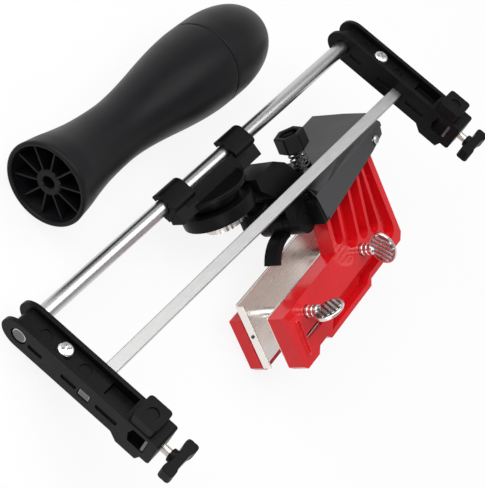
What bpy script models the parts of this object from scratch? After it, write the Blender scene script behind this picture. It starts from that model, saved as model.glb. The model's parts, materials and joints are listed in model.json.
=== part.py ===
"""A chainsaw filing guide that clamps on the saw bar, lying on its back, and its file handle beside it."""

import math

import bmesh
import bpy
from mathutils import Matrix, Vector

# Fits, in metres
SEAT_GAP = 0.0003
OVERRUN = 0.002
JOIN_DEPTH = 0.0004

# Clamp: X runs along the saw bar, Y to the rear, Z up, from the front jaw's near bottom front corner
JAW_LENGTH = 0.1065
JAW_HEIGHT = 0.0285
JAW_THICKNESS = 0.0082
JAW_GAP = 0.0132
REAR_JAW_LENGTH = 0.074
TOWER_HEIGHT = 0.0567
NEAR_FOOT_LENGTH = 0.0134
NOTCH_LENGTH = 0.0126
NOTCH_HEIGHT = 0.0028
FAR_STEP_HEIGHT = 0.0028
POCKET_DEPTH = 0.0052
RIB_THICKNESS = 0.0022
RIM_THICKNESS = 0.0026
CHANNEL_HEIGHT = 0.0086
SLOT_LENGTH = 0.0155
SLOT_WIDTH = 0.003
CHAIN_PLATE_THICKNESS = 0.0012
CHAIN_PLATE_RISE = 0.0078
CHAIN_PLATE_LENGTH = 0.072

# Thumb screws
CLAMP_SCREW_DIAMETER = 0.0055
CLAMP_SCREW_COLLAR = 0.009
CLAMP_SCREW_REACH = 0.006
WING_LENGTH = 0.0165
WING_WIDTH = 0.0135
WING_THICKNESS = 0.0026
NEAR_SCREW_ALONG = 0.0174
NEAR_SCREW_UP = 0.0206
FAR_SCREW_ALONG = 0.0717
FAR_SCREW_UP = 0.018
NEAR_WING_DEG = 0.0
FAR_WING_DEG = 90.0

# Scale plate over the clamp
PLATE_THICKNESS = 0.002
SKIRT_THICKNESS = 0.0019
SKIRT_NEAR_DROP = 0.0143
SKIRT_FAR_DROP = 0.0056
PLATE_LENGTH = 0.0824
PLATE_NEAR_BEYOND_BARREL = 0.0075
PLATE_DEPTH = 0.047
RIVET_DIAMETER = 0.0026
RIVET_HEAD = 0.0042
RIVET_HEAD_THICKNESS = 0.0009

# Rocking arm on its barrel
BARREL_BEFORE_TOWER = 0.00954
BARREL_UP = 0.0502
BARREL_RADIUS = 0.0068
BARREL_PIN_DIAMETER = 0.0045
BARREL_FRONT = 0.0045
CHEEK_THICKNESS = 0.0055
REAR_CHEEK_THICKNESS = 0.0062
LUG_THICKNESS = 0.003
PAWL_WIDTH = 0.0076
PAWL_FINGER_WIDTH = 0.0072
PAWL_FINGER_THICKNESS = 0.0034
PAWL_BEND_RADIUS = 0.0168
HINGE_BLOCK_LENGTH = 0.024
HINGE_BLOCK_DEPTH = 0.0075
HINGE_EAR_THICKNESS = 0.0017
ARM_TOP_BELOW_ROD = 0.012
ARM_FRONT = 0.0102
HEIGHT_SCREW_BEYOND_BARREL = 0.021
HEIGHT_SCREW_DEPTH = 0.0118
HEIGHT_SCREW_DIAMETER = 0.0038
HEIGHT_SCREW_PLAY = 0.0022
HEIGHT_KNOB_FLATS = 0.0133
HEIGHT_KNOB_THICKNESS = 0.0082
HEIGHT_KNOB_UP = 0.0755
SPRING_OUTER_DIAMETER = 0.0088
SPRING_WIRE = 0.001
SPRING_TURNS = 3
SPRING_SEAT_GAP = 0.0004
LOCK_KNOB_BEFORE_BARREL = 0.015
LOCK_KNOB_DEPTH = 0.0195
LOCK_KNOB_DIAMETER = 0.0145
LOCK_KNOB_THICKNESS = 0.0088
LOCK_STEM_DIAMETER = 0.006
LOCK_STEM_LENGTH = 0.0064

# Turntable and slider
ROD_BEFORE_BARREL = 0.0247
ROD_DEPTH = 0.0281
ROD_UP = 0.0922
SLIDER_TURN_DEG = -6.1
FRAME_ROLL_DEG = 51.7
TURN_ALONG = -0.0025
TURN_OFFSET = 0.0018
TURNTABLE_RADIUS = 0.0172
TURNTABLE_THICKNESS = 0.0062
TURNTABLE_BELOW_ROD = 0.0138
FLANGE_RADIUS = 0.0172
FLANGE_THICKNESS = 0.0025
FLANGE_BELOW_ROD = 0.0062
HUB_RADIUS = 0.0115
HOOK_SPACING = 0.0455
HOOK_LENGTH = 0.0148
HOOK_FRONT = 0.0062
HOOK_TOP = 0.0054
HOOK_FOOT = 0.0036
HOOK_LIP = 0.0062
HOOK_WALL = 0.0032
HOOK_MOUTH_DEG = 5.0
PIVOT_DIAMETER = 0.0058
PIVOT_NUT_DIAMETER = 0.0184
PIVOT_NUT_THICKNESS = 0.0042
PIVOT_WASHER_DIAMETER = 0.0115
PIVOT_WASHER_THICKNESS = 0.001

# File frame: X along the rod from the near bracket, Y across, Z up to the open side of the brackets
FRAME_SPAN = 0.228
SLIDER_STATION = 0.111
ROD_DIAMETER = 0.007
BRACKET_WIDTH = 0.013
BRACKET_HEIGHT = 0.0145
BRACKET_WALL = 0.0021
ROD_BELOW_TOP = 0.00725
ROUND_END_REACH = 0.0087
FLOOR_BELOW_TOP = 0.0033
DEEP_FLOOR_BELOW_TOP = 0.0072
BAR_OFFSET = 0.0344
BAR_WIDTH = 0.0054
BAR_THICKNESS = 0.004
BAR_BELOW_TOP = 0.0062
SCREW_OFFSET = 0.0176
SCREW_HEAD_DIAMETER = 0.0068
SCREW_HEAD_THICKNESS = 0.0024
SCREW_SHANK_DIAMETER = 0.0036
SCREW_SHANK_LENGTH = 0.0062
BOSS_OFFSET = 0.06
BOSS_LENGTH = 0.0116
BOSS_RISE = 0.006
BOSS_DIMPLE = 0.0052
BOSS_DIMPLE_DEPTH = 0.0008
BRACKET_REACH = 0.0703
END_PLATE_THICKNESS = 0.0043
HOUSING_BELOW_TOP = 0.018
FILE_SLOT_HEIGHT = 0.0088
FILE_SLOT_LENGTH = 0.0078
FILE_SLOT_BELOW_TOP = 0.0022
FILE_PAD_THICKNESS = 0.0014
KNOB_SCREW_DIAMETER = 0.004
KNOB_COLLAR_DIAMETER = 0.0062
KNOB_COLLAR_LENGTH = 0.0016
KNOB_STANDOFF = 0.006
KNOB_BAR_LENGTH = 0.0216
KNOB_BAR_THICKNESS = 0.0047
KNOB_BAR_WIDTH = 0.0062
KNOB_BELOW_TOP = 0.008

# Handle
HANDLE_LENGTH = 0.1635
HANDLE_RADIUS = 0.0209
HANDLE_MOUTH_RADIUS = 0.0193
HANDLE_NECK_RADIUS = 0.0138
HANDLE_CAP_LENGTH = 0.0465
HANDLE_WALL = 0.0022
HANDLE_MOUTH_DEPTH = 0.011
HANDLE_SOCKET_RADIUS = 0.0028
HANDLE_SOCKET_DEPTH = 0.045
HANDLE_HUB_RADIUS = 0.0062
HANDLE_RIBS = 10
HANDLE_RIB_THICKNESS = 0.0013
HANDLE_SPIGOT_RADIUS = 0.011
HANDLE_SPIGOT_LENGTH = 0.008
HANDLE_MOUTH_X = -0.0524
HANDLE_MOUTH_Y = 0.1382
HANDLE_HEADING_DEG = -3.6

ROUND_STEPS = 48
FINE_STEPS = 32
SMALL_STEPS = 20
SMOOTH_DEG = 32.0
ROUND_END_SHARE = 0.97


def clear_scene():
    for obj in list(bpy.data.objects):
        bpy.data.objects.remove(obj, do_unlink=True)


def principled(name, color, roughness, metallic=0.0):
    material = bpy.data.materials.new(name)
    material.use_nodes = True
    shader = material.node_tree.nodes["Principled BSDF"]
    shader.inputs["Base Color"].default_value = (*color, 1.0)
    shader.inputs["Roughness"].default_value = roughness
    shader.inputs["Metallic"].default_value = metallic
    material.diffuse_color = (*color, 1.0)
    return material


RED = (0.6, 0.006, 0.012)
BLACK = (0.016, 0.016, 0.017)
GREY = (0.08, 0.08, 0.082)
STEEL = (0.62, 0.61, 0.59)
CHROME = (0.75, 0.75, 0.76)


def empty(name, parent=None, matrix=None):
    obj = bpy.data.objects.new(name, None)
    bpy.context.scene.collection.objects.link(obj)
    obj.parent = parent
    obj.matrix_basis = matrix or Matrix()
    return obj


def link_mesh(name, shape, parent):
    bmesh.ops.recalc_face_normals(shape, faces=shape.faces)
    mesh = bpy.data.meshes.new(name)
    shape.to_mesh(mesh)
    shape.free()
    obj = bpy.data.objects.new(name, mesh)
    bpy.context.scene.collection.objects.link(obj)
    obj.parent = parent
    return obj


def solid(name, shape, parent, color, roughness, metallic=0.0):
    obj = link_mesh(name, shape, parent)
    obj.data.materials.append(principled(f"{name} finish", color, roughness, metallic))
    obj.data.shade_smooth()
    obj.data.set_sharp_from_angle(angle=math.radians(SMOOTH_DEG))
    return obj


def combine(obj, shape, operation):
    """Adds a hidden helper and a Boolean that cuts it from the object or joins it on."""
    helper = link_mesh(f"{obj.name} {operation.lower()} {len(obj.modifiers)}", shape, obj.parent)
    helper.hide_render = True
    helper.display_type = "WIRE"
    step = obj.modifiers.new(helper.name, "BOOLEAN")
    step.operation = operation
    step.object = helper
    return obj


def cut(obj, shape):
    return combine(obj, shape, "DIFFERENCE")


def join(obj, shape):
    return combine(obj, shape, "UNION")


def prism(outline, axis, start, end):
    """Extrudes an outline: (y, z) along X, (x, z) along Y or (x, y) along Z."""
    shape = bmesh.new()

    def point(pair, along):
        first, second = pair
        if axis == "X":
            return (along, first, second)
        if axis == "Y":
            return (first, along, second)
        return (first, second, along)

    low = [shape.verts.new(point(pair, start)) for pair in outline]
    high = [shape.verts.new(point(pair, end)) for pair in outline]
    shape.faces.new(low)
    shape.faces.new(reversed(high))
    count = len(outline)
    for i in range(count):
        following = (i + 1) % count
        shape.faces.new((low[i], high[i], high[following], low[following]))
    return shape


def block(low, high):
    outline = [(low[0], low[1]), (high[0], low[1]), (high[0], high[1]), (low[0], high[1])]
    return prism(outline, "Z", low[2], high[2])


def arc(center, radius, start_deg, end_deg, steps, radius_b=None):
    """Points of an arc in a plane, with a second radius for an ellipse."""
    points = []
    for i in range(steps + 1):
        angle = math.radians(start_deg + (end_deg - start_deg) * i / steps)
        across = radius_b if radius_b is not None else radius
        points.append((center[0] + radius * math.cos(angle), center[1] + across * math.sin(angle)))
    return points


def turned(profile, axis="Z", center=(0, 0, 0), steps=FINE_STEPS):
    """Turns a profile of (radius, height) round an axis; an end at radius 0 closes to a point."""
    shape = bmesh.new()
    rings = []
    for radius, height in profile:
        if radius == 0:
            rings.append([shape.verts.new((0, 0, height))])
            continue
        ring = []
        for i in range(steps):
            angle = 2 * math.pi * i / steps
            ring.append(shape.verts.new((radius * math.cos(angle), radius * math.sin(angle), height)))
        rings.append(ring)
    for first, second in zip(rings, rings[1:]):
        for i in range(steps):
            j = (i + 1) % steps
            corners = [first[i % len(first)], first[j % len(first)]]
            corners += [second[j % len(second)], second[i % len(second)]]
            shape.faces.new(list(dict.fromkeys(corners)))
    for ring in (rings[0], rings[-1]):
        if len(ring) > 1:
            shape.faces.new(ring)
    turn = Matrix()
    if axis == "X":
        turn = Matrix.Rotation(math.pi / 2, 4, "Y")
    if axis == "Y":
        turn = Matrix.Rotation(-math.pi / 2, 4, "X")
    shape.transform(Matrix.Translation(center) @ turn)
    return shape


def rod(radius, start, end, axis="Z", center=(0, 0, 0), steps=FINE_STEPS, chamfer=0):
    """A round bar from start to end along an axis, with chamfered ends if asked."""
    if not chamfer:
        return turned([(radius, start), (radius, end)], axis, center, steps)
    profile = [(radius - chamfer, start), (radius, start + chamfer)]
    profile += [(radius, end - chamfer), (radius - chamfer, end)]
    return turned(profile, axis, center, steps)


def rounded(width, height, radius, steps=4, center=(0, 0)):
    """A rectangle with round corners, centred."""
    points = []
    for corner, start in ((1, 1), 0), ((-1, 1), 90), ((-1, -1), 180), ((1, -1), 270):
        middle = (
            center[0] + corner[0] * (width / 2 - radius),
            center[1] + corner[1] * (height / 2 - radius),
        )
        points += arc(middle, radius, start, start + 90, steps)
    return points


# Clamp jaws

PLATE_UP = TOWER_HEIGHT + SEAT_GAP
FRONT_PLATE_FRONT = JAW_THICKNESS + SEAT_GAP
REAR_PLATE_FRONT = JAW_THICKNESS + JAW_GAP
REAR_JAW_FRONT = REAR_PLATE_FRONT + CHAIN_PLATE_THICKNESS + SEAT_GAP
REAR_JAW_BACK = REAR_PLATE_FRONT + JAW_THICKNESS
CHAIN_PLATE_START = 0.0012
CHAIN_PLATE_TOP = JAW_HEIGHT + CHAIN_PLATE_RISE
CHAIN_PLATE_BOTTOM = 0.003
TOWER_FOOT_SHARE = 0.487
TOWER_HEAD_SHARE = 0.545
LONG_FOOT_END_SHARE = 0.638
STEP_SLOPE_SHARE = 0.02
FAR_CORNER_SHARE = 0.06
# Rib lines on the tower: each one's foot and head along the jaw, and the pocket bottom beside it
RIB_FOOT_SHARES = (0.487, 0.566, 0.683, 0.777, 0.872, 0.972)
RIB_HEAD_SHARES = (0.565, 0.668, 0.778, 0.873, 0.912, 0.972)
POCKET_BOTTOM_SHARES = (0.52, 0.39, 0.36, 0.31, 0.14)
RIB_LINE_LOW_SHARE = 0.38
POCKET_TOP_SHARE = 0.93

BARREL_ALONG = TOWER_HEAD_SHARE * JAW_LENGTH - BARREL_BEFORE_TOWER
HEIGHT_SCREW_ALONG = BARREL_ALONG + HEIGHT_SCREW_BEYOND_BARREL
LOCK_KNOB_ALONG = BARREL_ALONG - LOCK_KNOB_BEFORE_BARREL
ROD_ALONG = BARREL_ALONG - ROD_BEFORE_BARREL
PLATE_NEAR = BARREL_ALONG + PLATE_NEAR_BEYOND_BARREL
ARM_TOP_UP = ROD_UP - ARM_TOP_BELOW_ROD


def rib_line(index, up):
    """Where a rib's middle line is along the jaw at a height."""
    low = JAW_HEIGHT * RIB_LINE_LOW_SHARE * 2
    share = (up - low) / (TOWER_HEIGHT - low)
    foot = RIB_FOOT_SHARES[index] * JAW_LENGTH
    head = RIB_HEAD_SHARES[index] * JAW_LENGTH
    return foot + (head - foot) * share


def pocket(index):
    """The U-shaped pocket between two rib lines, open to the front."""
    top = TOWER_HEIGHT * POCKET_TOP_SHARE
    bottom = TOWER_HEIGHT * POCKET_BOTTOM_SHARES[index]
    half_rib = RIB_THICKNESS / 2

    def sides(up):
        return rib_line(index, up) + half_rib, rib_line(index + 1, up) - half_rib

    left, right = sides(bottom)
    radius = (right - left) / 2
    left, right = sides(bottom + radius)
    middle = (left + right) / 2
    radius = (right - left) / 2
    outline = arc((middle, bottom + radius), radius, 180, 360, 8)
    left, right = sides(top)
    outline += [(right, top), (left, top)]
    return prism(outline, "Y", -OVERRUN, POCKET_DEPTH)


def screw_places():
    return ((NEAR_SCREW_ALONG, NEAR_SCREW_UP), (FAR_SCREW_ALONG, FAR_SCREW_UP))


def drill_for_screws(obj, start, end):
    for along, up in screw_places():
        cut(obj, rod(CLAMP_SCREW_DIAMETER / 2 + SEAT_GAP, start, end, "Y", (along, 0, up), SMALL_STEPS))


def front_jaw(parent):
    foot = LONG_FOOT_END_SHARE * JAW_LENGTH
    step = STEP_SLOPE_SHARE * JAW_LENGTH
    notch_start = NEAR_FOOT_LENGTH
    notch_end = NEAR_FOOT_LENGTH + NOTCH_LENGTH
    corner = FAR_CORNER_SHARE * JAW_LENGTH
    outline = [
        (0, RIM_THICKNESS),
        (RIM_THICKNESS, 0),
        (notch_start, 0),
        (notch_start + NOTCH_HEIGHT, NOTCH_HEIGHT),
        (notch_end - NOTCH_HEIGHT, NOTCH_HEIGHT),
        (notch_end, 0),
        (foot, 0),
        (foot + step, FAR_STEP_HEIGHT),
        (JAW_LENGTH - corner / 2, FAR_STEP_HEIGHT),
        (JAW_LENGTH, FAR_STEP_HEIGHT + corner / 2),
        (JAW_LENGTH, TOWER_HEIGHT),
        (TOWER_HEAD_SHARE * JAW_LENGTH, TOWER_HEIGHT),
        (TOWER_FOOT_SHARE * JAW_LENGTH, JAW_HEIGHT),
        (0, JAW_HEIGHT),
    ]
    obj = solid("front_jaw", prism(outline, "Y", 0, JAW_THICKNESS), parent, RED, 0.2)
    for index in range(len(POCKET_BOTTOM_SHARES)):
        cut(obj, pocket(index))
    channel_bottom = RIM_THICKNESS
    channel_top = channel_bottom + CHANNEL_HEIGHT
    channel_start = notch_end + RIM_THICKNESS
    outline = [
        (channel_start, channel_bottom),
        (foot - step, channel_bottom),
        (foot + step, channel_bottom + FAR_STEP_HEIGHT),
        (rib_line(4, channel_top) - RIB_THICKNESS, channel_bottom + FAR_STEP_HEIGHT),
        (rib_line(4, channel_top) - RIB_THICKNESS, channel_top),
        (channel_start + CHANNEL_HEIGHT, channel_top),
    ]
    cut(obj, prism(outline, "Y", -OVERRUN, POCKET_DEPTH))
    middle = (NEAR_SCREW_ALONG, RIM_THICKNESS + CHANNEL_HEIGHT)
    slot = rounded(SLOT_LENGTH, SLOT_WIDTH, SLOT_WIDTH / 2 * ROUND_END_SHARE, center=middle)
    cut(obj, prism(slot, "Y", -OVERRUN, JAW_THICKNESS + OVERRUN))
    drill_for_screws(obj, -OVERRUN, JAW_THICKNESS + OVERRUN)
    return obj


def chain_plate(name, front, parent, top):
    start = CHAIN_PLATE_START
    outline = [
        (start, CHAIN_PLATE_BOTTOM),
        (start + CHAIN_PLATE_LENGTH, CHAIN_PLATE_BOTTOM),
        (start + CHAIN_PLATE_LENGTH, top),
        (start, top),
    ]
    obj = solid(name, prism(outline, "Y", front, front + CHAIN_PLATE_THICKNESS), parent, STEEL, 0.35, 1.0)
    drill_for_screws(obj, front - OVERRUN, front + CHAIN_PLATE_THICKNESS + OVERRUN)
    return obj


def rear_jaw(parent):
    corner = RIM_THICKNESS
    outline = [
        (0, corner),
        (corner, 0),
        (REAR_JAW_LENGTH - corner, 0),
        (REAR_JAW_LENGTH, corner),
        (REAR_JAW_LENGTH, JAW_HEIGHT),
        (0, JAW_HEIGHT),
    ]
    obj = solid("rear_jaw", prism(outline, "Y", REAR_JAW_FRONT, REAR_JAW_BACK), parent, RED, 0.2)
    drill_for_screws(obj, REAR_JAW_FRONT - OVERRUN, REAR_JAW_BACK + OVERRUN)
    return obj


def thumb_screw(name, along, up, wing_deg, parent):
    """A wing screw along Y through both jaws, its collar against the front face."""
    turn = Matrix.Rotation(math.radians(wing_deg), 4, "Y")
    spot = empty(f"{name} axis", parent, Matrix.Translation((along, 0, up)) @ turn)
    radius = CLAMP_SCREW_DIAMETER / 2
    shank_end = REAR_JAW_BACK + SEAT_GAP
    obj = solid(
        name,
        turned(
            [
                (radius, -CLAMP_SCREW_REACH),
                (radius, -SEAT_GAP - RIB_THICKNESS),
                (CLAMP_SCREW_COLLAR / 2, -SEAT_GAP - RIB_THICKNESS + JOIN_DEPTH),
                (CLAMP_SCREW_COLLAR / 2, -SEAT_GAP),
                (radius, -SEAT_GAP),
                (radius, shank_end),
            ],
            "Y",
            steps=SMALL_STEPS,
        ),
        spot,
        CHROME,
        0.2,
        1.0,
    )
    wing_outline = rounded(WING_LENGTH, WING_WIDTH, WING_WIDTH / 2 * ROUND_END_SHARE, 5)
    wing = prism(wing_outline, "Z", -WING_THICKNESS / 2, WING_THICKNESS / 2)
    wing.transform(Matrix.Translation((0, -CLAMP_SCREW_REACH - WING_WIDTH / 2 + JOIN_DEPTH * 3, 0)))
    join(obj, wing)
    return obj


# Scale plate, hinge block and arm

PLATE_TOP = PLATE_UP + PLATE_THICKNESS
SKIRT_BACK = -SEAT_GAP
SKIRT_FACE = SKIRT_BACK - SKIRT_THICKNESS
SKIRT_MIDDLE_ALONG_SHARE = 0.613
SKIRT_MIDDLE_SHARE = 0.7
RIVET_ALONG_SHARE = 0.664
RIVET_CROWN_SHARE = 0.6
# Corners of the scale plate beyond its near front corner, along and to the rear
PLATE_CORNER_SHARES = (
    (0.0, 0.0),
    (0.786, 0.0),
    (0.935, 0.29),
    (0.971, 0.58),
    (1.0, 1.0),
    (0.862, 1.0),
    (0.073, 0.24),
)


def scale_plate(parent):
    depth = PLATE_DEPTH - SKIRT_FACE
    outline = [(PLATE_NEAR + a * PLATE_LENGTH, SKIRT_FACE + b * depth) for a, b in PLATE_CORNER_SHARES]
    obj = solid("scale_plate", prism(outline, "Z", PLATE_UP, PLATE_TOP), parent, GREY, 0.55)
    far = PLATE_NEAR + PLATE_CORNER_SHARES[1][0] * PLATE_LENGTH
    middle = PLATE_NEAR + SKIRT_MIDDLE_ALONG_SHARE * PLATE_LENGTH
    rise = SKIRT_NEAR_DROP - SKIRT_FAR_DROP
    face = [
        (PLATE_NEAR, PLATE_TOP - JOIN_DEPTH),
        (PLATE_NEAR, PLATE_TOP - SKIRT_NEAR_DROP),
        (middle, PLATE_TOP - SKIRT_NEAR_DROP + rise * SKIRT_MIDDLE_SHARE),
        (far - PLATE_THICKNESS, PLATE_TOP - SKIRT_FAR_DROP),
        (far - JOIN_DEPTH, PLATE_TOP - JOIN_DEPTH),
    ]
    join(obj, prism(face, "Y", SKIRT_FACE + JOIN_DEPTH / 4, SKIRT_BACK))
    rivet_room = RIVET_DIAMETER / 2 + SEAT_GAP
    return cut(obj, rod(rivet_room, SKIRT_FACE - OVERRUN, OVERRUN, "Y", rivet_spot(), SMALL_STEPS))


def rivet_spot():
    along = PLATE_NEAR + RIVET_ALONG_SHARE * PLATE_LENGTH
    return (along, 0, PLATE_TOP - SKIRT_FAR_DROP + RIVET_DIAMETER / 2)


def skirt_rivet(parent):
    face = SKIRT_FACE - SEAT_GAP
    tail = SKIRT_BACK + SEAT_GAP
    head = RIVET_HEAD / 2
    shank = RIVET_DIAMETER / 2
    profile = [
        (head * RIVET_CROWN_SHARE, face - RIVET_HEAD_THICKNESS),
        (head, face - RIVET_HEAD_THICKNESS / 2),
        (head, face),
        (shank, face),
        (shank, tail),
        (head, tail),
        (head, tail + RIVET_HEAD_THICKNESS),
    ]
    return solid("skirt_rivet", turned(profile, "Y", rivet_spot(), SMALL_STEPS), parent, STEEL, 0.35, 1.0)


FRONT_CHEEK = (BARREL_FRONT, BARREL_FRONT + CHEEK_THICKNESS)
LUG_SPAN = (FRONT_CHEEK[1] + SEAT_GAP, FRONT_CHEEK[1] + SEAT_GAP + LUG_THICKNESS)
PAWL_SPAN = (LUG_SPAN[1] + SEAT_GAP, LUG_SPAN[1] + SEAT_GAP + PAWL_WIDTH)
REAR_CHEEK = (PAWL_SPAN[1] + SEAT_GAP, PAWL_SPAN[1] + SEAT_GAP + REAR_CHEEK_THICKNESS)
HINGE_BLOCK_DROP = 0.0095
HINGE_STRUT_SHARE = 0.33


def barrel_hole(obj, start, end, center=(0, 0, 0)):
    radius = BARREL_PIN_DIAMETER / 2 + SEAT_GAP
    return cut(obj, rod(radius, start - OVERRUN, end + OVERRUN, "Y", center, SMALL_STEPS))


def hinge_block(parent):
    """The black block under the scale plate: a lug for the barrel pin and an ear beside the tower."""
    start, end = LUG_SPAN
    top = TOWER_HEIGHT
    bottom = top - HINGE_BLOCK_DROP
    far = BARREL_ALONG + HINGE_BLOCK_LENGTH
    outline = arc((BARREL_ALONG, BARREL_UP), BARREL_RADIUS, 90, 300, 14)
    outline += [(far - RIM_THICKNESS, bottom), (far, bottom + RIM_THICKNESS)]
    outline += [(far, top), (PLATE_NEAR + SEAT_GAP, top)]
    obj = solid("hinge_block", prism(outline, "Y", start, end), parent, BLACK, 0.5)
    back = start + HINGE_BLOCK_DEPTH
    foot_low = (PLATE_NEAR + BARREL_RADIUS, start + JOIN_DEPTH, bottom + JOIN_DEPTH)
    join(obj, block(foot_low, (far - JOIN_DEPTH, back, top - JOIN_DEPTH)))
    tower_run = (TOWER_HEAD_SHARE - TOWER_FOOT_SHARE) * JAW_LENGTH / (TOWER_HEIGHT - JAW_HEIGHT)

    def tower_side(up):
        return TOWER_HEAD_SHARE * JAW_LENGTH - tower_run * (top - up) - SEAT_GAP

    strut_low = top - HINGE_STRUT_SHARE * HINGE_BLOCK_DROP
    near = tower_side(strut_low) - HINGE_EAR_THICKNESS
    ear_low = PLATE_TOP - SKIRT_NEAR_DROP
    ear_near = tower_side(ear_low) - 2 * HINGE_EAR_THICKNESS
    strut = [(near, strut_low), (tower_side(strut_low), strut_low), (tower_side(top), top), (near, top)]
    join(obj, prism(strut, "Y", 0, start + JOIN_DEPTH))
    ear_top = top - JOIN_DEPTH
    ear = [(ear_near, ear_low), (tower_side(ear_low), ear_low)]
    ear += [(PLATE_NEAR - SEAT_GAP, ear_top), (ear_near, ear_top)]
    join(obj, prism(ear, "Y", SKIRT_FACE + JOIN_DEPTH, FRONT_CHEEK[0] - SEAT_GAP))
    return barrel_hole(obj, start, end, (BARREL_ALONG, 0, BARREL_UP))


def barrel_pin(parent):
    radius = BARREL_PIN_DIAMETER / 2
    head = radius + RIM_THICKNESS / 2
    seat = REAR_CHEEK[1] + SEAT_GAP
    profile = [(radius, FRONT_CHEEK[0]), (radius, seat), (head, seat), (head, seat + RIVET_HEAD_THICKNESS)]
    shape = turned(profile, "Y", (BARREL_ALONG, 0, BARREL_UP), SMALL_STEPS)
    return solid("barrel_pin", shape, parent, STEEL, 0.35, 1.0)


PAWL_START_DEG = 83.0
PAWL_END_DEG = 146.0
PAWL_ROOT_SHARES = (-0.9, -0.62)


def pawl(parent):
    """The curved chain stop that reaches from the barrel into the jaws' gap, from the barrel's axis."""
    obj = solid("chain_pawl", rod(BARREL_RADIUS, *PAWL_SPAN, "Y", steps=FINE_STEPS), parent, BLACK, 0.45)
    center = (PAWL_ROOT_SHARES[0] * BARREL_RADIUS, PAWL_ROOT_SHARES[1] * BARREL_RADIUS - PAWL_BEND_RADIUS)
    half = PAWL_FINGER_THICKNESS / 2
    outer = arc(center, PAWL_BEND_RADIUS + half, PAWL_START_DEG, PAWL_END_DEG, 8)
    inner = arc(center, PAWL_BEND_RADIUS - half, PAWL_END_DEG, PAWL_START_DEG, 8)
    finger_back = PAWL_SPAN[1] - JOIN_DEPTH
    join(obj, prism(outer + inner, "Y", finger_back - PAWL_FINGER_WIDTH, finger_back))
    return barrel_hole(obj, *PAWL_SPAN)


# Arm outlines from the barrel's axis, as shares of the height screw's distance and of the rise to the top
BRIDGE_LOW_SHARE = 0.27
CHEEK_TOP_SHARE = 0.35
CHEEK_SIDE_SHARES = ((-0.3, 0.03), (-0.28, CHEEK_TOP_SHARE), (0.3, CHEEK_TOP_SHARE), (0.3, 0.03))
LIP_TOP_SHARE = 0.52
LIP_LOW_SHARE = 0.4
ARM_SIDE_SHARES = (
    (-0.28, BRIDGE_LOW_SHARE),
    (-0.28, 0.5),
    (-0.72, 0.8),
    (-0.72, 1.0),
    (0.05, 1.0),
    (0.4, 0.84),
    (0.72, LIP_TOP_SHARE),
    (1.25, LIP_TOP_SHARE),
    (1.25, LIP_LOW_SHARE),
    (0.62, LIP_LOW_SHARE),
    (0.29, 0.3),
    (0.29, BRIDGE_LOW_SHARE),
)


def arm_point(share):
    return (share[0] * (HEIGHT_SCREW_ALONG - BARREL_ALONG), share[1] * (ARM_TOP_UP - BARREL_UP))


def turntable_center():
    """Centre of the turntable in clamp coordinates, on the slider's turning axis."""
    lean = math.radians(SLIDER_TURN_DEG)
    along = ROD_ALONG + TURN_ALONG * math.cos(lean) + TURN_OFFSET * math.sin(lean)
    depth = ROD_DEPTH + TURN_ALONG * math.sin(lean) - TURN_OFFSET * math.cos(lean)
    return along, depth


def arm(parent):
    """The rocking arm: two cheeks on the barrel, a lip round the height screw and the fixed turntable."""
    obj = solid("arm", rod(BARREL_RADIUS, *FRONT_CHEEK, "Y"), parent, BLACK, 0.45)
    join(obj, rod(BARREL_RADIUS, *REAR_CHEEK, "Y"))
    cheek = [arm_point(share) for share in CHEEK_SIDE_SHARES]
    join(obj, prism(cheek, "Y", FRONT_CHEEK[0] + JOIN_DEPTH, FRONT_CHEEK[1]))
    join(obj, prism(cheek, "Y", REAR_CHEEK[0], REAR_CHEEK[1] - JOIN_DEPTH))
    bridge_low = arm_point((0, BRIDGE_LOW_SHARE))[1]
    bridge_top = arm_point((0, CHEEK_TOP_SHARE))[1] - JOIN_DEPTH
    edge = arm_point((ARM_SIDE_SHARES[-1][0], 0))[0] - JOIN_DEPTH
    bridge_front = FRONT_CHEEK[1] - JOIN_DEPTH
    join(obj, block((-edge, bridge_front, bridge_low), (edge, ARM_FRONT + JOIN_DEPTH, bridge_top)))
    side = [arm_point(share) for share in ARM_SIDE_SHARES]
    join(obj, prism(side, "Y", ARM_FRONT, REAR_CHEEK[1] - 2 * JOIN_DEPTH))
    along, depth = turntable_center()
    top_up = ROD_UP - TURNTABLE_BELOW_ROD - BARREL_UP
    disc_center = (along - BARREL_ALONG, depth, 0)
    join(obj, rod(TURNTABLE_RADIUS, top_up - TURNTABLE_THICKNESS, top_up, "Z", disc_center, ROUND_STEPS))
    cut(obj, rod(PIVOT_DIAMETER / 2 + SEAT_GAP, 0, top_up + OVERRUN, "Z", disc_center, SMALL_STEPS))
    under = ROD_UP - TURNTABLE_BELOW_ROD - TURNTABLE_THICKNESS - BARREL_UP
    knob_place = (LOCK_KNOB_ALONG - BARREL_ALONG, LOCK_KNOB_DEPTH, 0)
    cut(obj, rod(LOCK_STEM_DIAMETER / 2 + SEAT_GAP, 0, under, "Z", knob_place, SMALL_STEPS))
    knob_room = LOCK_KNOB_DIAMETER / 2 + 2 * SEAT_GAP
    cut(obj, rod(knob_room, 0, under - LOCK_STEM_LENGTH + SEAT_GAP, "Z", knob_place))
    slot_length = HEIGHT_SCREW_DIAMETER + 3 * HEIGHT_SCREW_PLAY
    slot_width = HEIGHT_SCREW_DIAMETER + 2 * SEAT_GAP
    slot = prism(rounded(slot_length, slot_width, HEIGHT_SCREW_DIAMETER / 2, 5), "Z", 0, ARM_TOP_UP)
    slot.transform(Matrix.Translation((HEIGHT_SCREW_ALONG - BARREL_ALONG, HEIGHT_SCREW_DEPTH, 0)))
    cut(obj, slot)
    return barrel_hole(obj, FRONT_CHEEK[0], REAR_CHEEK[1])


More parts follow.
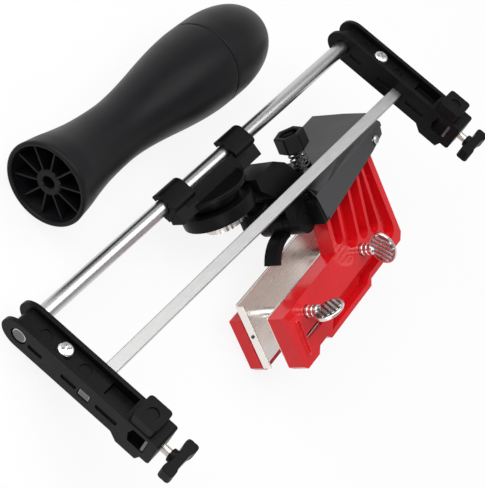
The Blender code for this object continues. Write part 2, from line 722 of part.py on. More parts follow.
def height_knob(parent):
    """The hexagonal knob whose screw passes the arm's lip and stands on the scale plate."""
    spot = empty("height knob axis", parent, Matrix.Translation((HEIGHT_SCREW_ALONG, HEIGHT_SCREW_DEPTH, 0)))
    radius = HEIGHT_KNOB_FLATS / math.sqrt(3)
    hexagon = arc((0, 0), radius, 10, 310, 5)
    head = prism(hexagon, "Z", HEIGHT_KNOB_UP, HEIGHT_KNOB_UP + HEIGHT_KNOB_THICKNESS)
    obj = solid("height_knob", head, spot, BLACK, 0.5)
    stem_radius = HEIGHT_SCREW_DIAMETER / 2
    return join(obj, rod(stem_radius, PLATE_TOP + SEAT_GAP, HEIGHT_KNOB_UP + JOIN_DEPTH, steps=SMALL_STEPS))


def lip_top():
    return BARREL_UP + arm_point((0, LIP_TOP_SHARE))[1]


def height_spring(parent):
    """The coil spring between the knob and the arm, one wire with straight ends square to its seats."""
    start = lip_top() + SPRING_SEAT_GAP
    end = HEIGHT_KNOB_UP - SPRING_SEAT_GAP
    radius = (SPRING_OUTER_DIAMETER - SPRING_WIRE) / 2
    low = start + SPRING_WIRE
    rise = end - SPRING_WIRE - low
    per_turn = 10
    count = SPRING_TURNS * per_turn
    points = [(radius, 0, start)]
    for i in range(count + 1):
        angle = 2 * math.pi * i / per_turn
        points.append((radius * math.cos(angle), radius * math.sin(angle), low + rise * i / count))
    points.append((radius, 0, end))
    gap = rise / SPRING_TURNS - SPRING_WIRE
    print(f"height spring: least gap between turns {gap * 1000:.2f} mm")
    curve = bpy.data.curves.new("height_spring", "CURVE")
    curve.dimensions = "3D"
    curve.bevel_depth = SPRING_WIRE / 2
    curve.bevel_resolution = 1
    curve.use_fill_caps = True
    line = curve.splines.new("POLY")
    line.points.add(len(points) - 1)
    for place, point in zip(line.points, points):
        place.co = (*point, 1)
    obj = bpy.data.objects.new("height_spring", curve)
    bpy.context.scene.collection.objects.link(obj)
    obj.parent = parent
    obj.location = (HEIGHT_SCREW_ALONG, HEIGHT_SCREW_DEPTH, 0)
    curve.materials.append(principled("height_spring finish", STEEL, 0.3, 1.0))
    return obj


def lock_knob(parent):
    """The knurled knob under the arm that locks its height."""
    place = (LOCK_KNOB_ALONG - BARREL_ALONG, LOCK_KNOB_DEPTH, 0)
    spot = empty("lock knob axis", parent, Matrix.Translation(place))
    top = ROD_UP - TURNTABLE_BELOW_ROD - TURNTABLE_THICKNESS - BARREL_UP - SEAT_GAP
    low = top - LOCK_STEM_LENGTH
    bottom = low - LOCK_KNOB_THICKNESS
    rim = LOCK_KNOB_DIAMETER / 2
    edge = RIM_THICKNESS / 3
    profile = [
        (rim - edge, bottom),
        (rim, bottom + edge),
        (rim, low - edge),
        (rim - edge, low),
        (LOCK_STEM_DIAMETER / 2, low),
        (LOCK_STEM_DIAMETER / 2, top),
    ]
    return solid("lock_knob", turned(profile, steps=FINE_STEPS), spot, BLACK, 0.5)


# Slider: from the rod's axis above the turning centre, X along the rod, Y across it, Z up


def tilted(points):
    """Turns an outline about the rod's axis by the frame's roll."""
    across = math.cos(math.radians(FRAME_ROLL_DEG))
    up = math.sin(math.radians(FRAME_ROLL_DEG))
    return [(y * across - z * up, y * up + z * across) for y, z in points]


HOOK_HEEL_DEG = 262.0
HOOK_NOSE_SHARES = (0.8, 0.7)
HOOK_CHEEK_SHARE = 0.6


def hook_outline():
    bore = ROD_DIAMETER / 2 + SEAT_GAP
    inner = arc((0, 0), bore, HOOK_MOUTH_DEG, HOOK_HEEL_DEG, 18)
    lip_up = HOOK_LIP * math.sin(math.radians(HOOK_MOUTH_DEG))
    outer = [
        (0, -HOOK_FOOT - SEAT_GAP * 2),
        (-HOOK_FRONT, -HOOK_FOOT - SEAT_GAP * 2),
        (-HOOK_FRONT, HOOK_TOP - HOOK_WALL / 3),
        (-HOOK_FRONT + HOOK_WALL / 3, HOOK_TOP),
        (HOOK_LIP / 3, HOOK_TOP),
        (HOOK_LIP * HOOK_NOSE_SHARES[0], HOOK_TOP * HOOK_NOSE_SHARES[1]),
        (HOOK_LIP, lip_up),
    ]
    return tilted(inner + outer)


def slider(parent):
    """The slider: a round flange and hub on the turntable, and two hooks that hold the rod."""
    hub_top = -TURNTABLE_BELOW_ROD + SEAT_GAP
    flange_top = -FLANGE_BELOW_ROD
    flange_low = flange_top - FLANGE_THICKNESS
    half = HOOK_SPACING / 2
    front = -ROD_DIAMETER / 2 - SEAT_GAP * 2
    center = (TURN_ALONG, -TURN_OFFSET)
    flange = rod(FLANGE_RADIUS, flange_low, flange_top, "Z", (*center, 0), ROUND_STEPS)
    obj = solid("slider_body", flange, parent, BLACK, 0.45)
    hub_height = flange_top - JOIN_DEPTH
    join(obj, rod(HUB_RADIUS, hub_top, hub_height, "Z", (*center, 0), FINE_STEPS))
    for place in (-half, half):
        join(obj, prism(hook_outline(), "X", place - HOOK_LENGTH / 2, place + HOOK_LENGTH / 2))
        foot = tilted([(-HOOK_FRONT, -HOOK_FOOT)])[0]
        cheek_edge, cheek_up = tilted([(-HOOK_FRONT, HOOK_TOP * HOOK_CHEEK_SHARE)])[0]
        web = [
            (foot[0], foot[1] + JOIN_DEPTH),
            (foot[0], flange_low - JOIN_DEPTH),
            (cheek_edge - HOOK_WALL / 2, flange_low - JOIN_DEPTH),
            (cheek_edge + JOIN_DEPTH, cheek_up),
            tilted([(-ROD_DIAMETER / 2 - HOOK_WALL / 2, 0)])[0],
        ]
        web_reach = HOOK_LENGTH / 2 - JOIN_DEPTH
        join(obj, prism(web, "X", place - web_reach, place + web_reach))
    wall = [
        (front, flange_low + JOIN_DEPTH),
        (front, 0),
        (front - HOOK_WALL / 2, 0),
        (front - HOOK_WALL, flange_low + JOIN_DEPTH),
    ]
    join(obj, prism(wall, "X", -half, half))
    bore = PIVOT_DIAMETER / 2 + SEAT_GAP
    return cut(obj, rod(bore, hub_top - OVERRUN, hub_height + OVERRUN, "Z", (*center, 0), SMALL_STEPS))


def pivot_bolt(parent):
    """The bolt through the slider's hub and the turntable."""
    radius = PIVOT_DIAMETER / 2
    top = -FLANGE_BELOW_ROD - SEAT_GAP
    bottom = -TURNTABLE_BELOW_ROD - TURNTABLE_THICKNESS - PIVOT_WASHER_THICKNESS
    bottom -= PIVOT_NUT_THICKNESS + RIM_THICKNESS
    shape = rod(radius, bottom, top, "Z", (TURN_ALONG, -TURN_OFFSET, 0), SMALL_STEPS, JOIN_DEPTH)
    return solid("pivot_bolt", shape, parent, STEEL, 0.3, 1.0)


def ring(name, outer, low, high, parent, grip=0):
    """A washer or nut round the pivot bolt, knurled if it has a grip depth."""
    steps = ROUND_STEPS if grip else FINE_STEPS
    outline = []
    for i in range(steps):
        radius = outer - grip * (i % 2)
        angle = 2 * math.pi * i / steps
        outline.append((radius * math.cos(angle), radius * math.sin(angle)))
    obj = solid(name, prism(outline, "Z", low, high), parent, STEEL, 0.3, 1.0)
    bore = PIVOT_DIAMETER / 2 + SEAT_GAP
    return cut(obj, rod(bore, low - OVERRUN, high + OVERRUN, "Z", steps=SMALL_STEPS))


# File frame

SCREW_CROWN_SHARE = 0.72
SCREW_RECESS_SHARE = 0.6
KNOB_CORNER_SHARE = 0.3


class Bracket:
    """One end bracket; distances outward run from its inner face, away from the rod's middle."""

    def __init__(self, name, face, outward, parent):
        self.name = name
        self.face = face
        self.outward = outward
        self.parent = parent

    def along(self, distance):
        return self.face + self.outward * distance

    def slab(self, outline, start, end):
        low, high = sorted((self.along(start), self.along(end)))
        return prism(outline, "X", low, high)

    def column(self, radius, center_y, low, high, steps=SMALL_STEPS):
        return rod(radius, low, high, "Z", (self.along(BRACKET_WIDTH / 2), center_y, 0), steps)

    def build(self):
        """The U-shaped bracket with its round end, screw post, boss, file slot and end plate."""
        low = -BRACKET_HEIGHT
        rod_z = -ROD_BELOW_TOP
        back = -BRACKET_REACH
        housing_front = -BOSS_OFFSET + BOSS_LENGTH / 2
        end_plate_front = back + END_PLATE_THICKNESS
        outline = arc((0, rod_z), ROUND_END_REACH, 90, -90, 12, BRACKET_HEIGHT / 2)
        outline += [
            (housing_front + (HOUSING_BELOW_TOP - BRACKET_HEIGHT), low),
            (housing_front - JOIN_DEPTH, -HOUSING_BELOW_TOP),
            (end_plate_front + RIM_THICKNESS / 2, -HOUSING_BELOW_TOP),
            (end_plate_front, low),
            (back, low),
            (back, 0),
        ]
        obj = solid(f"{self.name}_bracket", self.slab(outline, 0, BRACKET_WIDTH), self.parent, BLACK, 0.42)
        step_y = -BAR_OFFSET - BAR_WIDTH
        channel = [
            (ROUND_END_REACH + OVERRUN, OVERRUN),
            (ROUND_END_REACH + OVERRUN, -FLOOR_BELOW_TOP),
            (step_y, -FLOOR_BELOW_TOP),
            (step_y, -DEEP_FLOOR_BELOW_TOP),
            (housing_front + BRACKET_WALL, -DEEP_FLOOR_BELOW_TOP),
            (housing_front + BRACKET_WALL, OVERRUN),
        ]
        cut(obj, self.slab(channel, BRACKET_WALL, BRACKET_WIDTH - BRACKET_WALL))
        boss_center = (self.along(BRACKET_WIDTH / 2), -BOSS_OFFSET)
        boss = rounded(BRACKET_WIDTH, BOSS_LENGTH, RIM_THICKNESS, 3, boss_center)
        join(obj, prism(boss, "Z", -JOIN_DEPTH * 2, BOSS_RISE))
        shank_room = SCREW_SHANK_DIAMETER / 2 + SEAT_GAP
        cut(obj, self.column(shank_room, -SCREW_OFFSET, self.shank_end() - SEAT_GAP, OVERRUN))
        dimple_low = BOSS_RISE - BOSS_DIMPLE_DEPTH
        cut(obj, self.column(BOSS_DIMPLE / 2, -BOSS_OFFSET, dimple_low, BOSS_RISE + OVERRUN))
        cut(obj, self.bore(-OVERRUN, BRACKET_WIDTH + OVERRUN))
        bar_room = 2 * SEAT_GAP
        bar_hole = rounded(BAR_WIDTH + bar_room, BAR_THICKNESS + bar_room, bar_room, 2, self.bar_center())
        cut(obj, self.slab(bar_hole, -OVERRUN, BRACKET_WIDTH + OVERRUN))
        file_top = -FILE_SLOT_BELOW_TOP
        file_front = end_plate_front + FILE_SLOT_LENGTH
        slot = [
            (end_plate_front, file_top),
            (end_plate_front, file_top - FILE_SLOT_HEIGHT),
            (file_front, file_top - FILE_SLOT_HEIGHT),
            (file_front + RIM_THICKNESS / 2, file_top - FILE_SLOT_HEIGHT / 2),
            (file_front, file_top),
        ]
        cut(obj, self.slab(slot, -OVERRUN, BRACKET_WIDTH + OVERRUN))
        screw_hole = rod(
            KNOB_SCREW_DIAMETER / 2 + SEAT_GAP,
            back - OVERRUN,
            end_plate_front + OVERRUN / 2,
            "Y",
            (self.along(BRACKET_WIDTH / 2), 0, -KNOB_BELOW_TOP),
            SMALL_STEPS,
        )
        cut(obj, screw_hole)
        return obj

    def shank_end(self):
        return -FLOOR_BELOW_TOP - SCREW_SHANK_LENGTH

    def bore(self, start, end):
        low, high = sorted((self.along(start), self.along(end)))
        return rod(ROD_DIAMETER / 2 + SEAT_GAP, low, high, "X", (0, 0, -ROD_BELOW_TOP), FINE_STEPS)

    def bar_center(self):
        return (-BAR_OFFSET, -BAR_BELOW_TOP - BAR_THICKNESS / 2)

    def screw(self):
        """The pan-head screw that pinches the rod."""
        head_low = -FLOOR_BELOW_TOP + SEAT_GAP
        top = head_low + SCREW_HEAD_THICKNESS
        head = SCREW_HEAD_DIAMETER / 2
        profile = [
            (SCREW_SHANK_DIAMETER / 2, self.shank_end()),
            (SCREW_SHANK_DIAMETER / 2, head_low),
            (head, head_low),
            (head, head_low + SCREW_HEAD_THICKNESS / 2),
            (head * SCREW_CROWN_SHARE, top),
        ]
        center = (self.along(BRACKET_WIDTH / 2), -SCREW_OFFSET, 0)
        shape = turned(profile, center=center, steps=SMALL_STEPS)
        obj = solid(f"{self.name}_screw", shape, self.parent, CHROME, 0.2, 1.0)
        reach = head * SCREW_RECESS_SHARE
        for turn in (45, 135):
            floor = top - SCREW_HEAD_THICKNESS / 2
            groove = block((-reach, -head / 8, floor), (reach, head / 8, top + OVERRUN))
            groove.transform(Matrix.Translation(center) @ Matrix.Rotation(math.radians(turn), 4, "Z"))
            cut(obj, groove)
        return obj

    def pad_parent(self):
        """An empty on the knob's axis at the file pad's back face."""
        place = (self.along(BRACKET_WIDTH / 2), -BRACKET_REACH + END_PLATE_THICKNESS, -KNOB_BELOW_TOP)
        return empty(f"{self.name} knob axis", self.parent, Matrix.Translation(place))

    def pad(self, spot):
        """The steel pad that the knob's screw presses on the file."""
        half = BRACKET_WIDTH / 2 - SEAT_GAP
        low = -FILE_SLOT_BELOW_TOP - FILE_SLOT_HEIGHT + SEAT_GAP + KNOB_BELOW_TOP
        high = -FILE_SLOT_BELOW_TOP - SEAT_GAP + KNOB_BELOW_TOP
        shape = block((-half, SEAT_GAP, low), (half, SEAT_GAP + FILE_PAD_THICKNESS, high))
        return solid(f"{self.name}_file_pad", shape, spot, STEEL, 0.3, 1.0)

    def knob(self, spot):
        """The bar knob with its collar and screw."""
        plate = -END_PLATE_THICKNESS - SEAT_GAP
        bar_front = plate - KNOB_STANDOFF
        radius = KNOB_SCREW_DIAMETER / 2
        profile = [
            (radius, bar_front - JOIN_DEPTH),
            (radius, plate - KNOB_COLLAR_LENGTH),
            (KNOB_COLLAR_DIAMETER / 2, plate - KNOB_COLLAR_LENGTH),
            (KNOB_COLLAR_DIAMETER / 2, plate),
            (radius, plate),
            (radius, 0),
        ]
        obj = solid(f"{self.name}_knob", turned(profile, "Y", steps=SMALL_STEPS), spot, BLACK, 0.45)
        bar = rounded(KNOB_BAR_LENGTH, KNOB_BAR_WIDTH, KNOB_BAR_WIDTH * KNOB_CORNER_SHARE)
        return join(obj, prism(bar, "Y", bar_front - KNOB_BAR_THICKNESS, bar_front))


def guide_rod(parent):
    reach = BRACKET_WIDTH - SEAT_GAP
    axis_point = (0, 0, -ROD_BELOW_TOP)
    shape = rod(ROD_DIAMETER / 2, -reach, FRAME_SPAN + reach, "X", axis_point, chamfer=JOIN_DEPTH)
    return solid("guide_rod", shape, parent, CHROME, 0.12, 1.0)


def flat_bar(parent, center):
    reach = BRACKET_WIDTH - SEAT_GAP
    shape = prism(rounded(BAR_WIDTH, BAR_THICKNESS, JOIN_DEPTH, 1, center), "X", -reach, FRAME_SPAN + reach)
    return solid("flat_bar", shape, parent, STEEL, 0.28, 1.0)


# Handle: Z along its axis from the mouth

HANDLE_SEAM = HANDLE_LENGTH - HANDLE_CAP_LENGTH
# Radius and place along the grip, as shares of the neck-to-belly step and of the grip's length
GRIP_SHARES = (
    (0.6, 0.084),
    (0.38, 0.154),
    (0.17, 0.238),
    (0.04, 0.335),
    (0.0, 0.433),
    (0.11, 0.531),
    (0.35, 0.643),
    (0.64, 0.755),
    (0.85, 0.852),
    (0.97, 0.936),
)
HANDLE_THROAT_SHARE = 0.5
CAP_SHARES = ((1.0, 0.0), (1.0, 0.25), (0.93, 0.5), (0.8, 0.7), (0.6, 0.86), (0.36, 0.96), (0.0, 1.0))


def handle_radius(share):
    return HANDLE_NECK_RADIUS + share * (HANDLE_RADIUS - HANDLE_NECK_RADIUS)


def handle_body(parent):
    """The bell-mouthed grip, hollow at the mouth, with radial ribs round the tang socket."""
    lip = HANDLE_WALL / 2
    profile = [(HANDLE_MOUTH_RADIUS - lip, 0), (HANDLE_MOUTH_RADIUS, lip)]
    profile.append((HANDLE_MOUTH_RADIUS, 2 * HANDLE_WALL))
    profile += [(handle_radius(radius), along * HANDLE_SEAM) for radius, along in GRIP_SHARES]
    profile.append((HANDLE_RADIUS, HANDLE_SEAM))
    profile.append((HANDLE_SPIGOT_RADIUS, HANDLE_SEAM))
    profile.append((HANDLE_SPIGOT_RADIUS, HANDLE_SEAM + HANDLE_SPIGOT_LENGTH))
    obj = solid("handle_body", turned(profile, steps=ROUND_STEPS), parent, BLACK, 0.42)
    inside = HANDLE_MOUTH_RADIUS - HANDLE_WALL
    deep = handle_radius(HANDLE_THROAT_SHARE) - HANDLE_WALL
    mouth = [(inside, -OVERRUN), (inside, RIM_THICKNESS), (deep, HANDLE_MOUTH_DEPTH)]
    cut(obj, turned(mouth, steps=ROUND_STEPS))
    join(obj, rod(HANDLE_HUB_RADIUS, RIM_THICKNESS, HANDLE_MOUTH_DEPTH + JOIN_DEPTH, "Z"))
    for i in range(HANDLE_RIBS // 2):
        half = HANDLE_RIB_THICKNESS / 2
        rib = [
            (-inside - JOIN_DEPTH, RIM_THICKNESS / 2),
            (inside + JOIN_DEPTH, RIM_THICKNESS / 2),
            (deep, HANDLE_MOUTH_DEPTH + JOIN_DEPTH),
            (-deep, HANDLE_MOUTH_DEPTH + JOIN_DEPTH),
        ]
        shape = prism(rib, "Y", -half, half)
        shape.transform(Matrix.Rotation(2 * math.pi * i / HANDLE_RIBS, 4, "Z"))
        join(obj, shape)
    cut(obj, rod(HANDLE_SOCKET_RADIUS, -OVERRUN, HANDLE_SOCKET_DEPTH, "Z", steps=SMALL_STEPS))
    return obj


def handle_cap(parent):
    start = HANDLE_SEAM + SEAT_GAP
    length = HANDLE_LENGTH - start
    profile = [(HANDLE_RADIUS * radius, start + along * length) for radius, along in CAP_SHARES]
    obj = solid("handle_cap", turned(profile, steps=ROUND_STEPS), parent, BLACK, 0.42)
    bore_end = HANDLE_SEAM + HANDLE_SPIGOT_LENGTH + SEAT_GAP
    return cut(obj, rod(HANDLE_SPIGOT_RADIUS + SEAT_GAP, start - OVERRUN, bore_end))


# Assembly


def build_clamp(guide):
    front_jaw(guide)
    chain_plate("front_chain_plate", FRONT_PLATE_FRONT, guide, JAW_HEIGHT)
    scale_plate(guide)
    skirt_rivet(guide)
    hinge_block(guide)
    barrel_pin(guide)
    slide = empty("rear jaw slide", guide)
    rear_jaw(slide)
    chain_plate("rear_chain_plate", REAR_PLATE_FRONT, slide, CHAIN_PLATE_TOP)
    names = ("near_thumb_screw", "far_thumb_screw")
    for name, (along, up), wing_deg in zip(names, screw_places(), (NEAR_WING_DEG, FAR_WING_DEG)):
        thumb_screw(name, along, up, wing_deg, guide)


def build_arm(guide):
    barrel = empty("barrel axis", guide, Matrix.Translation((BARREL_ALONG, 0, BARREL_UP)))
    pawl(barrel)
    arm(barrel)
    lock_knob(barrel)
    height_knob(guide)
    height_spring(guide)


def build_slider(guide):
    turn = Matrix.Rotation(math.radians(SLIDER_TURN_DEG), 4, "Z")
    carriage = empty("slider axis", guide, Matrix.Translation((ROD_ALONG, ROD_DEPTH, ROD_UP)) @ turn)
    slider(carriage)
    pivot_bolt(carriage)
    nut_axis = empty("pivot nut axis", carriage, Matrix.Translation((TURN_ALONG, -TURN_OFFSET, 0)))
    washer_top = -TURNTABLE_BELOW_ROD - TURNTABLE_THICKNESS - SEAT_GAP
    washer_low = washer_top - PIVOT_WASHER_THICKNESS
    ring("pivot_washer", PIVOT_WASHER_DIAMETER / 2, washer_low, washer_top, nut_axis)
    nut_top = washer_low - SEAT_GAP
    ring("pivot_nut", PIVOT_NUT_DIAMETER / 2, nut_top - PIVOT_NUT_THICKNESS, nut_top, nut_axis, JOIN_DEPTH)
    return carriage


def build_frame(carriage):
    roll = Matrix.Rotation(math.radians(FRAME_ROLL_DEG), 4, "X")
    frame = empty("frame", carriage, roll @ Matrix.Translation((-SLIDER_STATION, 0, ROD_BELOW_TOP)))
    guide_rod(frame)
    for name, face, outward in (("near", 0, -1), ("far", FRAME_SPAN, 1)):
        bracket = Bracket(name, face, outward, frame)
        bracket.build()
        bracket.screw()
        spot = bracket.pad_parent()
        bracket.pad(spot)
        bracket.knob(spot)
    flat_bar(frame, bracket.bar_center())


def build_handle(world):
    """The handle lies on its mouth's rim and on its belly."""
    spot = empty("handle axis", world)
    handle_body(spot)
    handle_cap(spot)
    heading = Matrix.Rotation(math.radians(HANDLE_HEADING_DEG), 4, "Z")
    rise = math.atan((HANDLE_RADIUS - HANDLE_MOUTH_RADIUS) / (HANDLE_SEAM - HANDLE_WALL))
    lying = Matrix.Rotation(math.pi / 2 - rise, 4, "Y")
    spot.matrix_basis = Matrix.Translation((HANDLE_MOUTH_X, HANDLE_MOUTH_Y, 0)) @ heading @ lying
    bpy.context.view_layer.update()
    spot.location.z = -min(point.z for point in points_of(["handle_body"]))


def points_of(names):
    graph = bpy.context.evaluated_depsgraph_get()
    points = []
    for name in names:
        obj = bpy.data.objects[name].evaluated_get(graph)
        points += [obj.matrix_world @ Vector(corner.co) for corner in obj.to_mesh().vertices]
        obj.to_mesh_clear()
    return points


def rest_on_floor(guide):
    """Turns the guide to lie on three pieces: the near bracket's end, the scale plate and the rear jaw."""
    bpy.context.view_layer.update()
    groups = [points_of([name]) for name in ("near_bracket", "scale_plate", "rear_jaw")]
    up = Vector((0, -1, 0))
    for _ in range(20):
        feet = [min(points, key=up.dot) for points in groups]
        normal = (feet[1] - feet[0]).cross(feet[2] - feet[0]).normalized()
        up = normal if normal.dot(up) > 0 else -normal
    along = Vector((1, 0, 0))
    along = (along - up * along.dot(up)).normalized()
    across = up.cross(along)
    turn = Matrix((along, across, up)).to_4x4()
    guide.matrix_basis = Matrix.Translation((0, 0, -feet[0].dot(up))) @ turn


def center_on_floor(world):
    """Puts the origin under the middle of everything."""
    bpy.context.view_layer.update()
    names = [obj.name for obj in bpy.data.objects if obj.type in ("MESH", "CURVE") and not obj.hide_render]
    points = points_of(names)
    low = [min(point[i] for point in points) for i in range(3)]
    high = [max(point[i] for point in points) for i in range(3)]
    world.location = (-(low[0] + high[0]) / 2, -(low[1] + high[1]) / 2, -low[2])


def main():
    clear_scene()
    world = empty("world place")
    guide = empty("guide place", world)
    build_clamp(guide)
    build_arm(guide)
    build_frame(build_slider(guide))
    rest_on_floor(guide)
    build_handle(world)
    center_on_floor(world)


main()
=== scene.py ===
# %% [markdown]
# A chainsaw filing guide lies on its back, and its loose file handle lies beside it.
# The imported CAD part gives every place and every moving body. This lesson dresses it:
# it rounds the edges that a casting or a moulding has, builds the finer pieces again
# with more detail, and gives each surface the finish that the real one shows.

# %% Load the part as a fixed frame
import json
import math

import bmesh
import bpy
from mathutils import Matrix, Vector


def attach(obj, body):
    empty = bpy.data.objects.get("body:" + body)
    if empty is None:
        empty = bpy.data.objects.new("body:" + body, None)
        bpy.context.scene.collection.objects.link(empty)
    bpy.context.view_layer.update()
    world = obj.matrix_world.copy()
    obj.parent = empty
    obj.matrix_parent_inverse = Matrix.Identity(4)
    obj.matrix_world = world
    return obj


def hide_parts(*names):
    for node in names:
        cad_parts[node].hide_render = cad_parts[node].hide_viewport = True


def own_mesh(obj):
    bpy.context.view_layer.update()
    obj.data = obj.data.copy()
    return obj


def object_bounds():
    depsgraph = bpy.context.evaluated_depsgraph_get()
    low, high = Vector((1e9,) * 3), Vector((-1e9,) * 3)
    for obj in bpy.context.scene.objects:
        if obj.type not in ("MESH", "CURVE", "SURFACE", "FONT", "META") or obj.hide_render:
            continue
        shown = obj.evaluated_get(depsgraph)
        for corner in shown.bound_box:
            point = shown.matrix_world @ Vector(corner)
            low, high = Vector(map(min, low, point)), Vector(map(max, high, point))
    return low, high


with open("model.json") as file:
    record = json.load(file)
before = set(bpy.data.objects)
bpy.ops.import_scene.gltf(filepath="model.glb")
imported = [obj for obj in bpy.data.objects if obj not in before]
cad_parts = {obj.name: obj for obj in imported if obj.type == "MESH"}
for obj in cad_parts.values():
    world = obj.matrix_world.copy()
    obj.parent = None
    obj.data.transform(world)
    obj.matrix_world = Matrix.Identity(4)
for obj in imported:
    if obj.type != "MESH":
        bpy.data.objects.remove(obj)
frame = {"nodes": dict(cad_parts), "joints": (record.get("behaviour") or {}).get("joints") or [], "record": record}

cad_low, cad_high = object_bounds()
nodes = frame["nodes"]
joints = {joint["name"]: joint for joint in frame["joints"]}
mounts = {mount["name"]: mount for mount in frame["record"]["mounts"]}
print("pieces in the frame:", len(nodes))

# %% [markdown]
# Every piece is easiest to draw in its own carrier's directions. The joints give those
# directions: the jaw slides along the clamp's depth, the height screw turns about its
# height, and the rod slides along the file frame. Each place below is a matrix from
# such local metres to the scene.

# %% Local places worked out from the joints


def axis_of(name):
    return Vector(joints[name]["axis"]).normalized()


def place_of(name):
    return Vector(joints[name]["pos_m"])


def basis(x_axis, y_axis, origin):
    z_axis = x_axis.cross(y_axis)
    matrix = Matrix((x_axis, y_axis, z_axis)).transposed().to_4x4()
    matrix.translation = origin
    return matrix


BARREL_ALONG = 0.0485
BARREL_UP = 0.0502
rear = -axis_of("rear_jaw_slide")
up = axis_of("height_turn")
along = rear.cross(up)
clamp_place = basis(along, rear, place_of("pawl_swing") - BARREL_ALONG * along - BARREL_UP * up)

ROD_BELOW_TOP = 0.00725
SLIDER_STATION = 0.111
rod_axis = axis_of("rod_slide")
slider_place = basis(rod_axis, up.cross(rod_axis), place_of("frame_roll"))
across = axis_of("near_knob_turn")
frame_z = rod_axis.cross(across)
frame_origin = place_of("frame_roll") - SLIDER_STATION * rod_axis + ROD_BELOW_TOP * frame_z
frame_place = basis(rod_axis, across, frame_origin)

TANG_FACE_OUT = 0.00485
TANG_FACE_DEEP = 0.0026
handle_axis = -axis_of("handle_shift")
handle_side = Vector((0, 0, 1)).cross(handle_axis).normalized()
tang_point = Vector(mounts["tang_face"]["pos_m"])
handle_origin = tang_point - TANG_FACE_OUT * handle_side - TANG_FACE_DEEP * handle_axis
handle_place = basis(handle_side.cross(handle_axis), handle_side, handle_origin)
print("clamp origin:", [round(value, 4) for value in clamp_place.translation])

# %% [markdown]
# The camera stands where the photographer stood. Solving the view from the straight
# rod, the flat bar and both brackets gave its place and direction in clamp metres, so
# it is written that way here and carried into the scene by the clamp's matrix.

# %% Camera at the photograph's angle
CAMERA_AT = (-0.4520, -0.3944, 0.3264)
CAMERA_FORWARD = Vector((0.68971, 0.60693, -0.39490))
CAMERA_UP = Vector((0.54105, -0.06954, 0.83811))
FOCAL_PIXELS = 1543.85
PICTURE_HEIGHT = 488
SENSOR = 36.0

camera = bpy.data.objects.new("camera", bpy.data.cameras.new("camera"))
bpy.context.scene.collection.objects.link(camera)
camera.data.sensor_width = SENSOR
camera.data.lens = FOCAL_PIXELS * SENSOR / PICTURE_HEIGHT
camera.data.clip_start = 0.01
look = basis(CAMERA_FORWARD.cross(CAMERA_UP).normalized(), CAMERA_UP.normalized(), Vector(CAMERA_AT))
camera.matrix_world = clamp_place @ look
bpy.context.scene.camera = camera
bpy.context.scene.view_settings.view_transform = "Standard"
print("lens:", round(camera.data.lens, 1), "mm")

# %% [markdown]
# The tool is shown on plain white. A large floor is white for the camera and for
# reflections, and still takes a faint shadow, because only part of its colour is light
# of its own. A few helpers come first, because all shaders here use the same few nodes.

# %% Shader helpers
WHITE = (1.0, 1.0, 1.0, 1.0)


def set_inputs(tree, node, inputs):
    """Gives each input of a node a link from another node, or a plain value."""
    for key, value in inputs.items():
        if isinstance(value, bpy.types.NodeSocket):
            tree.links.new(value, node.inputs[key])
        else:
            node.inputs[key].default_value = value


def add_node(tree, kind, inputs, output=0, **settings):
    """Adds a node with its settings and inputs, and returns one of its outputs."""
    node = tree.nodes.new(kind)
    for name, setting in settings.items():
        setattr(node, name, setting)
    set_inputs(tree, node, inputs)
    return node.outputs[output] if len(node.outputs) else None


def blend_colors(tree, share, first, second):
    return add_node(tree, "ShaderNodeMix", {0: share, 6: first, 7: second}, 2, data_type="RGBA")


def spread(tree, value, start, end, low=0.0, high=1.0, **settings):
    """Spreads what lies between start and end over the range from low to high."""
    ends = {"From Min": start, "From Max": end, "To Min": low, "To Max": high}
    return add_node(tree, "ShaderNodeMapRange", {"Value": value, **ends}, **settings)


def seen_by_eye_or_gloss(tree):
    """One value: 1 for camera, glossy and transmission rays, and 0 for the light that falls on things."""
    rays = tree.nodes.new("ShaderNodeLightPath")
    seen = rays.outputs["Is Camera Ray"]
    for name in ("Is Glossy Ray", "Is Transmission Ray"):
        seen = add_node(tree, "ShaderNodeMath", {0: seen, 1: rays.outputs[name]}, operation="MAXIMUM")
    return seen


print("shader helpers ready")

# %% Floor
FLOOR_SIZE = 6.0
FLOOR_CLEARANCE = 0.0002
FLOOR_SHADOW_SHARE = 0.12
FLOOR_GREY = (0.86, 0.86, 0.86, 1.0)

floor_shape = bmesh.new()
bmesh.ops.create_grid(floor_shape, x_segments=1, y_segments=1, size=FLOOR_SIZE / 2)
floor_mesh = bpy.data.meshes.new("floor")
floor_shape.to_mesh(floor_mesh)
floor_shape.free()
floor = bpy.data.objects.new("floor", floor_mesh)
bpy.context.scene.collection.objects.link(floor)
floor.location.z = cad_low.z - FLOOR_CLEARANCE

floor_paint = bpy.data.materials.new("white floor")
floor_paint.use_nodes = True
tree = floor_paint.node_tree
tree.nodes.clear()
glow = add_node(tree, "ShaderNodeEmission", {"Color": WHITE})
matte = add_node(tree, "ShaderNodeBsdfDiffuse", {"Color": FLOOR_GREY})
inputs = {0: seen_by_eye_or_gloss(tree), 1: 1 - FLOOR_SHADOW_SHARE}
share = add_node(tree, "ShaderNodeMath", inputs, operation="MULTIPLY")
surface = add_node(tree, "ShaderNodeMixShader", {0: share, 1: matte, 2: glow})
add_node(tree, "ShaderNodeOutputMaterial", {"Surface": surface})
floor_mesh.materials.append(floor_paint)
print("floor size:", FLOOR_SIZE)

# %% [markdown]
# The room round the table is white to the camera. Gloss sees it too, pale at the horizon
# and greyer overhead, as a real studio is: that one change of tone is what draws the
# long light and dark lines on a polished rod. Its light on dull surfaces is weaker.

# %% World
ROOM_LIGHT = 0.22
ROOM_TINT = (0.92, 0.95, 1.0, 1.0)
OVERHEAD_GREY = (0.36, 0.36, 0.37, 1.0)
HORIZON_END = 0.1
OVERHEAD_START = 0.75

